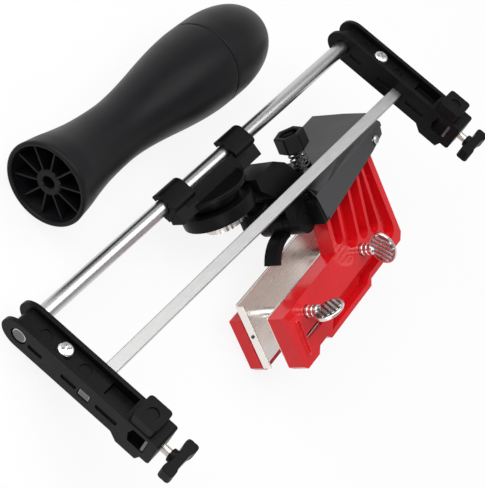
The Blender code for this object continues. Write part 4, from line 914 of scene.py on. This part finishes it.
def carve(shape, *steps):
    """Applies Boolean steps of (operation, shape) one after another and returns the resulting shape."""
    base = as_object(shape)
    tools = []
    for operation, tool_shape in steps:
        tool = as_object(tool_shape)
        step = base.modifiers.new("step", "BOOLEAN")
        step.operation = operation
        step.object = tool
        tools.append(tool)
    bpy.context.view_layer.update()
    carved = base.evaluated_get(bpy.context.evaluated_depsgraph_get())
    result = bmesh.new()
    result.from_mesh(carved.to_mesh())
    carved.to_mesh_clear()
    for obj in [base, *tools]:
        mesh = obj.data
        bpy.data.objects.remove(obj)
        bpy.data.meshes.remove(mesh)
    bmesh.ops.remove_doubles(result, verts=result.verts, dist=0.000002)
    bmesh.ops.dissolve_limit(result, angle_limit=math.radians(1), verts=result.verts, edges=result.edges)
    return result


print("carving tools ready")

# %% [markdown]
# The channel's floor stops short of the round end, so the two walls end as separate
# lobes round the rod. The floor has two shallow round marks, the walls have long shallow
# recesses beside the rod and the bar, and the end plate has rounded corners.

# %% Brackets
BRACKET_REACH = 0.0703
BRACKET_HEIGHT = 0.0145
BRACKET_WALL = 0.0021
FLOOR_DEPTH = 0.0033
DEEP_FLOOR_DEPTH = 0.0054
ROUND_REACH = 0.0087
CORE_REACH = 0.0052
HOUSING_DEPTH = 0.018
END_PLATE = 0.0043
END_ROUND = 0.0014
BOSS_MIDDLE = 0.06
BOSS_LENGTH = 0.0116
BOSS_RISE = 0.006
SLOT_DEPTH = 0.0088
SLOT_TOP = 0.0022
SLOT_LENGTH = 0.0078
KNOB_DROP = 0.008
OVER = 0.002
RECESS_DEPTH = 0.0007
FLOOR_MARKS = (-0.008, -0.0285)
WALL_RECESSES = ((-0.0125, -0.0052), (-0.0305, -0.0225), (-0.0515, -0.0405))

# An outline of (y, z) in this turned place is drawn out along X
across_x = Matrix(((0, 0, 1, 0), (1, 0, 0, 0), (0, 1, 0, 0), (0, 0, 0, 1)))


def slab(outline, start, end):
    return add_prism(bmesh.new(), outline, start, end, across_x)


def bracket_outline():
    line = []
    for i in range(19):
        angle = math.radians(90 - 10 * i)
        z = -BRACKET_HEIGHT / 2 + BRACKET_HEIGHT / 2 * math.sin(angle)
        line.append((ROUND_REACH * math.cos(angle), z))
    line += [(-0.0507, -BRACKET_HEIGHT), (-0.0546, -HOUSING_DEPTH), (-0.0647, -HOUSING_DEPTH)]
    line.append((-0.066, -BRACKET_HEIGHT))
    line += round_corner((-BRACKET_REACH + END_ROUND, -BRACKET_HEIGHT + END_ROUND), END_ROUND, 270, 180)
    line += round_corner((-BRACKET_REACH + END_ROUND, -END_ROUND), END_ROUND, 180, 90)
    return line


def channel_outline():
    line = [(ROUND_REACH + OVER, OVER), (ROUND_REACH + OVER, -BRACKET_HEIGHT - OVER)]
    line += [(CORE_REACH, -BRACKET_HEIGHT - OVER), (CORE_REACH, -0.0066)]
    line += round_corner((CORE_REACH - 0.0033, -0.0066), 0.0033, 0, 90)[1:]
    line += [(-0.0398, -FLOOR_DEPTH), (-0.0402, -DEEP_FLOOR_DEPTH), (-0.0521, -DEEP_FLOOR_DEPTH), (-0.0521, OVER)]
    return line


def bracket(name, near_face, outward):
    low, high = sorted((near_face, near_face + outward * BRACKET_WIDTH))
    middle = (low + high) / 2
    plate_front = -BRACKET_REACH + END_PLATE
    boss = round_box_outline(BRACKET_WIDTH - 0.0008, BOSS_LENGTH, 0.0017, (middle, -BOSS_MIDDLE))
    slot = [(plate_front, -SLOT_TOP), (plate_front, -SLOT_TOP - SLOT_DEPTH)]
    slot += [(plate_front + SLOT_LENGTH, -SLOT_TOP - SLOT_DEPTH)]
    slot += [(plate_front + SLOT_LENGTH + 0.0013, -SLOT_TOP - SLOT_DEPTH / 2)]
    slot += [(plate_front + SLOT_LENGTH, -SLOT_TOP)]
    bar_hole = [(y, z) for z, y in round_box_outline(0.0046, 0.006, 0.0006, (-0.0082, -BAR_OFFSET), 2)]
    screw_place = Matrix.Translation((middle, 0, -KNOB_DROP)) @ Matrix.Rotation(math.pi / 2, 4, "X")
    boss_place = Matrix.Translation((middle, -BOSS_MIDDLE, 0))
    steps = [
        ("DIFFERENCE", slab(channel_outline(), low + BRACKET_WALL, high - BRACKET_WALL)),
        ("UNION", prism(boss, -0.002, BOSS_RISE)),
        ("DIFFERENCE", slab(slot, low - OVER, high + OVER)),
        ("DIFFERENCE", slab(bar_hole, low - OVER, high + OVER)),
        ("DIFFERENCE", peg(ROD_RADIUS + 0.0003, low - OVER, high + OVER, rod_turn)),
        ("DIFFERENCE", peg(0.0023, 0.0640, 0.0740, screw_place)),
        ("DIFFERENCE", peg(0.0026, BOSS_RISE - 0.0008, BOSS_RISE + OVER, boss_place)),
    ]
    for y in FLOOR_MARKS:
        mark = Matrix.Translation((middle, y, 0))
        steps.append(("DIFFERENCE", peg(0.0027, -FLOOR_DEPTH - 0.0007, OVER, mark)))
    for face in (low, high):
        for start, end in WALL_RECESSES:
            recess = round_box_outline(end - start, 0.0026, 0.0008, ((start + end) / 2, -0.0078), 2)
            steps.append(("DIFFERENCE", slab(recess, face - RECESS_DEPTH, face + RECESS_DEPTH)))
    shape = carve(slab(bracket_outline(), low, high), *steps)
    names = ("file_frame", "black_plastic", f"{name}_bracket")
    finish_piece(f"{name}_moulding", shape, frame_place, black_plastic, *names, rounded=(0.0005, 3, 30))


bracket("near", 0.0, -1)
bracket("far", FRAME_SPAN, 1)
print("brackets carved")

# %% [markdown]
# The pan-head screws and the bar knobs are small, but they are the bright and busy spots
# of the frame. A screw head is a turned dome with a cross cut by two thin blocks. The
# knob is a bar with rounded lobes on a hub, and its steel screw has real thread rings.

# %% Pan-head screws
HEAD_RADIUS = 0.0036
HEAD_LOW = -0.0030
HEAD_RISE = 0.0024
SCREW_OFFSET = 0.0176
SCREW_DEEP = -0.0095
CROSS_LENGTH = 0.0042
CROSS_WIDTH = 0.0009
CROSS_DEPTH = 0.0012


def pan_screw(name, middle):
    top = HEAD_LOW + HEAD_RISE
    profile = [(0.0, SCREW_DEEP), (0.0018, SCREW_DEEP), (0.0018, HEAD_LOW), (HEAD_RADIUS - 0.0002, HEAD_LOW)]
    profile += [(HEAD_RADIUS, HEAD_LOW + 0.0003), (HEAD_RADIUS, HEAD_LOW + 0.0010)]
    dome = [(HEAD_RADIUS, HEAD_LOW + 0.0010), (HEAD_RADIUS * 0.9, top - 0.0006), (HEAD_RADIUS * 0.6, top - 0.00015)]
    profile += smooth_line(dome + [(0.0, top)], 4)[1:]
    profile[-1] = (0.0, top)
    place = Matrix.Translation((middle, -SCREW_OFFSET, 0))
    steps = []
    for turn in (45, 135):
        cut_place = place @ Matrix.Rotation(math.radians(turn), 4, "Z")
        cut = [(x * CROSS_LENGTH / 2, y * CROSS_WIDTH / 2) for x, y in ((-1, -1), (1, -1), (1, 1), (-1, 1))]
        steps.append(("DIFFERENCE", prism(cut, top - CROSS_DEPTH, top + OVER, cut_place)))
    shape = carve(turned(profile, place, 40), *steps)
    names = ("file_frame", "bright_chrome", f"{name}_screw")
    finish_piece(f"{name}_pan_screw", shape, frame_place, pressed_steel, *names, rounded=(0.00012, 2, 40))


near_middle = -BRACKET_WIDTH / 2
far_middle = FRAME_SPAN + BRACKET_WIDTH / 2
pan_screw("near", near_middle)
pan_screw("far", far_middle)
print("screw head:", HEAD_RADIUS * 2)

# %% Bar knobs
KNOB_HALF = 0.0094
KNOB_BACK = -0.0813
KNOB_THICK = 0.0056
KNOB_TALL = 0.0062
THREAD_RINGS = 16
THREAD_PITCH = 0.0006


def knob_outline():
    """The bar knob seen along its height: thick lobes at both ends and a slightly thinner middle."""
    half = KNOB_THICK / 2
    side = [(-KNOB_HALF, 0.0), (-KNOB_HALF, half * 0.62), (-KNOB_HALF * 0.9, half), (-KNOB_HALF * 0.62, half)]
    side += [(-KNOB_HALF * 0.4, half * 0.78), (0.0, half * 0.74), (KNOB_HALF * 0.4, half * 0.78)]
    side += [(KNOB_HALF * 0.62, half), (KNOB_HALF * 0.9, half), (KNOB_HALF, half * 0.62), (KNOB_HALF, 0.0)]
    upper = smooth_line(side, 3)
    return upper + [(x, -y) for x, y in reversed(upper[1:-1])]


def bar_knob(name, middle):
    place = Matrix.Translation((middle, KNOB_BACK + KNOB_THICK / 2, -KNOB_DROP))
    shape = prism(knob_outline(), -KNOB_TALL / 2, KNOB_TALL / 2, place)
    axis = Matrix.Translation((middle, 0, -KNOB_DROP)) @ along_y
    hub = [(0.0, KNOB_BACK + 0.002), (0.0031, KNOB_BACK + 0.002), (0.0031, -0.0748)]
    turn_profile(shape, hub + [(0.0027, -0.0742), (0.0, -0.0742)], axis, 32)
    names = (name, "black_plastic", name)
    finish_piece(f"{name}_bar", shape, frame_place, black_plastic, *names, rounded=(0.0009, 3, 30))
    thread = [(0.0, -0.0760)]
    for i in range(THREAD_RINGS):
        start = -0.0755 + i * THREAD_PITCH
        thread += [(0.00172, start), (0.0020, start + THREAD_PITCH * 0.4), (0.0020, start + THREAD_PITCH * 0.6)]
    thread += [(0.0017, -0.0659), (0.0, -0.0659)]
    screw = turned(thread, axis, 32)
    finish_piece(f"{name}_thread", screw, frame_place, bright_screw, name, "bright_chrome")


bar_knob("near_knob", near_middle)
bar_knob("far_knob", far_middle)
print("knob length:", KNOB_HALF * 2)

# %% [markdown]
# The slider is the part that a user turns most. Two claws curl over the rod, a low wall
# joins them, and all stand on a round flange with a raised rim over a smaller hub. The
# claws are drawn from the rod's axis, so they always hold the rod, and are then tilted
# with the file frame.

# %% Slider with its claws
CLAW_LENGTH = 0.0148
CLAW_SPACING = 0.0455
CLAW_BORE = 0.0038
CLAW_OUTSIDE = 0.0062
CLAW_TOP = 0.0054
CLAW_FOOT = 0.0042
CLAW_TILT = math.radians(51.7)
FLANGE_RADIUS = 0.0172
FLANGE_TOP = -0.0062
FLANGE_LOW = -0.0087
HUB_OUTSIDE = 0.0115
HUB_LOW = -0.0135
TURN_CENTER = (-0.0025, -0.0018)


def tilt(points):
    across_share = math.cos(CLAW_TILT)
    up_share = math.sin(CLAW_TILT)
    return [(y * across_share - z * up_share, y * up_share + z * across_share) for y, z in points]


def claw_outline():
    inner = round_corner((0, 0), CLAW_BORE, 5, 262, 22)
    outer = [(0.0, -CLAW_FOOT), (-CLAW_OUTSIDE, -CLAW_FOOT)]
    outer += round_corner((-CLAW_OUTSIDE + 0.002, CLAW_TOP - 0.002), 0.002, 180, 90)
    outer += round_corner((0.0016, CLAW_TOP - 0.0046), 0.0046, 88, 8, 6)
    outer.append((0.0060, 0.0007))
    return tilt(inner + outer)


slider = bmesh.new()
for middle in (-CLAW_SPACING / 2, CLAW_SPACING / 2):
    add_prism(slider, claw_outline(), middle - CLAW_LENGTH / 2, middle + CLAW_LENGTH / 2, across_x)
    foot = tilt([(-CLAW_OUTSIDE, -0.0036)])[0]
    cheek = tilt([(-CLAW_OUTSIDE, CLAW_TOP * 0.6)])[0]
    web = [(foot[0], foot[1] + 0.0004), (foot[0], FLANGE_LOW - 0.0004), (cheek[0] - 0.0016, FLANGE_LOW - 0.0004)]
    web += [(cheek[0] + 0.0004, cheek[1]), tilt([(-0.0051, 0.0)])[0]]
    reach = CLAW_LENGTH / 2 - 0.0004
    add_prism(slider, web, middle - reach, middle + reach, across_x)
wall = [(-0.0041, FLANGE_LOW + 0.0004), (-0.0041, 0.0), (-0.0057, 0.0), (-0.0073, FLANGE_LOW + 0.0004)]
add_prism(slider, wall, -CLAW_SPACING / 2, CLAW_SPACING / 2, across_x)
bore = 0.0032
rim_low = FLANGE_TOP - 0.00025
hub_ring = [(bore, HUB_LOW), (HUB_OUTSIDE - 0.0003, HUB_LOW), (HUB_OUTSIDE, HUB_LOW + 0.0003)]
hub_ring += [(HUB_OUTSIDE, FLANGE_LOW - 0.0005), (HUB_OUTSIDE + 0.0005, FLANGE_LOW)]
hub_ring += round_corner((FLANGE_RADIUS - 0.0007, FLANGE_LOW + 0.0007), 0.0007, -90, 0, 4)
hub_ring += round_corner((FLANGE_RADIUS - 0.0006, FLANGE_TOP - 0.0006), 0.0006, 0, 90, 4)
hub_ring += [(FLANGE_RADIUS - 0.0016, FLANGE_TOP), (FLANGE_RADIUS - 0.0022, rim_low), (bore, rim_low)]
flange_place = Matrix.Translation((*TURN_CENTER, 0))
turn_profile(slider, hub_ring, flange_place, 120, closed=True)
names = ("slider", "black_plastic", "slider_body")
finish_piece("slider_claws", slider, slider_place, black_plastic, *names, rounded=(0.0007, 3, 50))
print("claw spacing:", CLAW_SPACING)

# %% [markdown]
# The height knob is a six-sided moulding with a hexagonal recess in its top, and the
# lock knob under the arm has a ring of grip ribs. Both are cut or drawn from outlines,
# and their edges are rounded as in a worn mould.

# %% Height knob
HEX_RADIUS = 0.0133 / math.sqrt(3)
HEX_LOW = 0.0755
HEX_TALL = 0.0082
HEX_PLACE = (0.0695, 0.0118)
RECESS_SHARE = 0.62
RECESS_LOW = 0.006
RECESS_HIGH = 0.01
SCREW_RINGS = 22
SCREW_PITCH = 0.0007


def hexagon(radius, turn_deg=10):
    return round_corner((0, 0), radius, turn_deg, turn_deg + 300, 5)


height_axis = Matrix.Translation((*HEX_PLACE, 0))
block = prism(hexagon(HEX_RADIUS), HEX_LOW, HEX_LOW + HEX_TALL, height_axis)
recess = hexagon(HEX_RADIUS * RECESS_SHARE)
recess = prism(recess, HEX_LOW + RECESS_LOW, HEX_LOW + RECESS_HIGH, height_axis)
stem = [(0.0, 0.0593), (0.0015, 0.0593), (0.0019, 0.0598)]
for i in range(SCREW_RINGS):
    stem += [(0.0019, 0.0600 + i * SCREW_PITCH), (0.00165, 0.06035 + i * SCREW_PITCH)]
stem += [(0.0019, HEX_LOW + 0.0004), (0.0, HEX_LOW + 0.0004)]
knob = carve(block, ("DIFFERENCE", recess))
names = ("height_knob", "black_plastic", "height_knob")
finish_piece("hex_knob", knob, clamp_place, black_plastic, *names, rounded=(0.0007, 3, 30))
screw = turned(stem, height_axis, 32)
finish_piece("height_screw", screw, clamp_place, dark_steel_and_painted_shade, "height_knob", "spring_steel")
print("hexagon across flats:", round(HEX_RADIUS * math.sqrt(3), 4))

# %% [markdown]
# The height spring is one round wire wound about the screw, with flat closed ends. When
# the arm rocks up, the real spring shortens.

# %% Height spring
COIL_RADIUS = 0.0039
WIRE_RADIUS = 0.0005
COIL_LOW = 0.0667
COIL_HIGH = 0.0746
COIL_TURNS = 5
CLOSED_SHARE = 0.16
COIL_STEPS = 22


def coil_height(share):
    """The wire's height along the coil: nearly flat turns at both ends and an even rise between."""
    eased = min(max((share - CLOSED_SHARE) / (1 - 2 * CLOSED_SHARE), 0.0), 1.0)
    return COIL_LOW + (COIL_HIGH - COIL_LOW) * (0.1 * share + 0.9 * eased)


coil = bmesh.new()
rings = []
for i in range(COIL_TURNS * COIL_STEPS + 1):
    angle = 2 * math.pi * i / COIL_STEPS
    out = Vector((math.cos(angle), math.sin(angle), 0))
    spot = out * COIL_RADIUS + Vector((0, 0, coil_height(i / (COIL_TURNS * COIL_STEPS))))
    round_wire = round_corner((0, 0), WIRE_RADIUS, 0, 315, 7)
    rings.append([coil.verts.new(spot + out * a + Vector((0, 0, b))) for a, b in round_wire])
join_rings(coil, zip(rings, rings[1:]))
coil.faces.new(rings[0])
coil.faces.new(rings[-1])
coil.transform(height_axis)
names = ("clamp", "spring_steel", "height_spring")
coil_piece = finish_piece("spring_coil", coil, clamp_place, spring_wire, *names)
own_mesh(coil_piece)
print("spring turns:", COIL_TURNS)

# %% Lock knob
LOCK_PLACE = (0.0335, 0.0195)
LOCK_LOW = 0.0567
LOCK_TOP = 0.0655
LOCK_STEM_TOP = 0.0719
LOCK_RADIUS = 0.00725
LOCK_RIBS = 30
grip_outline = []
for i in range(LOCK_RIBS * 4):
    radius = LOCK_RADIUS - (0.0, 0.0001, 0.0006, 0.0001)[i % 4]
    angle = 2 * math.pi * i / (LOCK_RIBS * 4)
    grip_outline.append((radius * math.cos(angle), radius * math.sin(angle)))
lock_axis = Matrix.Translation((*LOCK_PLACE, 0))
lock = bmesh.new()
layers = [(0.86, LOCK_LOW), (0.96, LOCK_LOW + 0.0004), (1.0, LOCK_LOW + 0.0011)]
layers += [(1.0, LOCK_TOP - 0.0011), (0.96, LOCK_TOP - 0.0004), (0.88, LOCK_TOP)]
add_layers(lock, grip_outline, layers, lock_axis)
stem = [(0.0, LOCK_LOW + 0.002), (0.003, LOCK_LOW + 0.002), (0.003, LOCK_STEM_TOP), (0.0, LOCK_STEM_TOP)]
turn_profile(lock, stem, lock_axis, 32)
finish_piece("ribbed_lock_knob", lock, clamp_place, black_plastic, "lock_knob", "black_plastic", "lock_knob")
print("lock knob ribs:", LOCK_RIBS)

# %% [markdown]
# The turntable is the round disc at the end of the arm. Seen close, a disc needs a truly
# round rim, so a finely turned skin with soft edges covers the arm's own disc. Its middle
# stays open for the pivot.

# %% Turntable skin
SLIDER_LEAN = math.radians(-6.1)
ROD_ALONG = 0.0238
ROD_DEPTH = 0.0281
TABLE_RADIUS = 0.01726
TABLE_LOW = 0.07217
TABLE_TOP = 0.07843
TABLE_ROUND = 0.0007
PIVOT_ROOM = 0.0034

offset_x, offset_y = TURN_CENTER
table_x = ROD_ALONG + offset_x * math.cos(SLIDER_LEAN) - offset_y * math.sin(SLIDER_LEAN)
table_y = ROD_DEPTH + offset_x * math.sin(SLIDER_LEAN) + offset_y * math.cos(SLIDER_LEAN)
skin = [(PIVOT_ROOM, TABLE_LOW)]
skin += round_corner((TABLE_RADIUS - TABLE_ROUND, TABLE_LOW + TABLE_ROUND), TABLE_ROUND, -90, 0, 5)
skin += round_corner((TABLE_RADIUS - TABLE_ROUND, TABLE_TOP - TABLE_ROUND), TABLE_ROUND, 0, 90, 5)
skin.append((PIVOT_ROOM, TABLE_TOP))
table = turned(skin, Matrix.Translation((table_x, table_y, 0)), 120, closed=True)
finish_piece("turntable_skin", table, clamp_place, black_plastic, "arm", "black_plastic")
print("turntable at:", round(table_x, 4), round(table_y, 4))

# %% [markdown]
# Thin pieces finish the corner where the roof's skirt meets the jaw's tower. A black liner
# covers the near side of the tower, a grey skin with a gusset ends the skirt, and a thin black
# inlay on the roof is painted shade behind the roof's fold. A turned dome is the rivet's head.

# %% Tower liner, skirt end, painted shade behind the fold, and rivet
LINER_OUTLINE = [(0.0551, -0.0447), (0.0577, -0.05695), (0.0640, -0.05695), (0.0640, -0.0560), (0.0560, -0.0447)]
LINER_FRONT = -0.0001
LINER_BACK = 0.0083
SKIRT_OUTLINE = [(0.0526, -0.0590), (0.0541, -0.0462), (0.0566, -0.0462), (0.0566, -0.0590)]
SKIRT_FRONT = -0.00225
SKIRT_BACK = -0.0019
GUSSET = [(0.0526, -0.0022, 0.0590), (0.0582, 0.0046, 0.0590), (0.0541, -0.0022, 0.0462)]
GUSSET_THICKNESS = Vector((0.0004, -0.00015, 0.0))
FOLD_SHADE_OUTLINE = [(0.0658, -0.0016), (0.0715, 0.0), (0.0933, 0.0065), (0.1040, 0.0040), (0.0980, 0.0013)]
FOLD_SHADE_OUTLINE.append((0.0664, -0.0020))
FOLD_SHADE_LOW = 0.0588
FOLD_SHADE_HIGH = 0.05904
RIVET_DOME = [(0.0, 0.0), (0.0010, 0.0001), (0.0018, 0.0004), (0.0021, 0.0009)]

liner = prism(LINER_OUTLINE, LINER_FRONT, LINER_BACK, along_y)
finish_piece("tower_liner", liner, clamp_place, black_plastic, "clamp", "black_plastic", rounded=(0.00005, 1))
skirt = prism(SKIRT_OUTLINE, SKIRT_FRONT, SKIRT_BACK, along_y)
front_face = [skirt.verts.new(Vector(spot)) for spot in GUSSET]
back_face = [skirt.verts.new(Vector(spot) + GUSSET_THICKNESS) for spot in GUSSET]
skirt.faces.new(front_face)
skirt.faces.new(list(reversed(back_face)))
join_rings(skirt, [(back_face, front_face)])
finish_piece("skirt_end", skirt, clamp_place, dark_grey, "clamp", "dark_grey", rounded=(0.0001, 2))
# Painted shade: a thin black inlay on the roof darkens the strip behind the fold.
fold = prism(FOLD_SHADE_OUTLINE, FOLD_SHADE_LOW, FOLD_SHADE_HIGH)
finish_piece("fold_painted_shade", fold, clamp_place, black_plastic, "clamp", "black_plastic")

rivet_node = nodes["skirt_rivet"]
corners = [clamp_place.inverted() @ rivet_node.matrix_world @ Vector(corner) for corner in rivet_node.bound_box]
rivet_x = sum(corner.x for corner in corners) / len(corners)
rivet_z = sum(corner.z for corner in corners) / len(corners)
rivet_low = min(corner.y for corner in corners)
dome = smooth_line([(radius, rivet_low + depth) for radius, depth in RIVET_DOME], 4)
profile = [(0.0, rivet_low), *dome[1:], (0.0, rivet_low + RIVET_DOME[-1][1])]
rivet = turned(profile, Matrix.Translation((rivet_x, 0, rivet_z)) @ along_y, 40)
finish_piece("rivet_dome", rivet, clamp_place, drawn_steel, "clamp", "plate_steel", "skirt_rivet")
print("rivet at:", round(rivet_x, 4), round(rivet_z, 4))
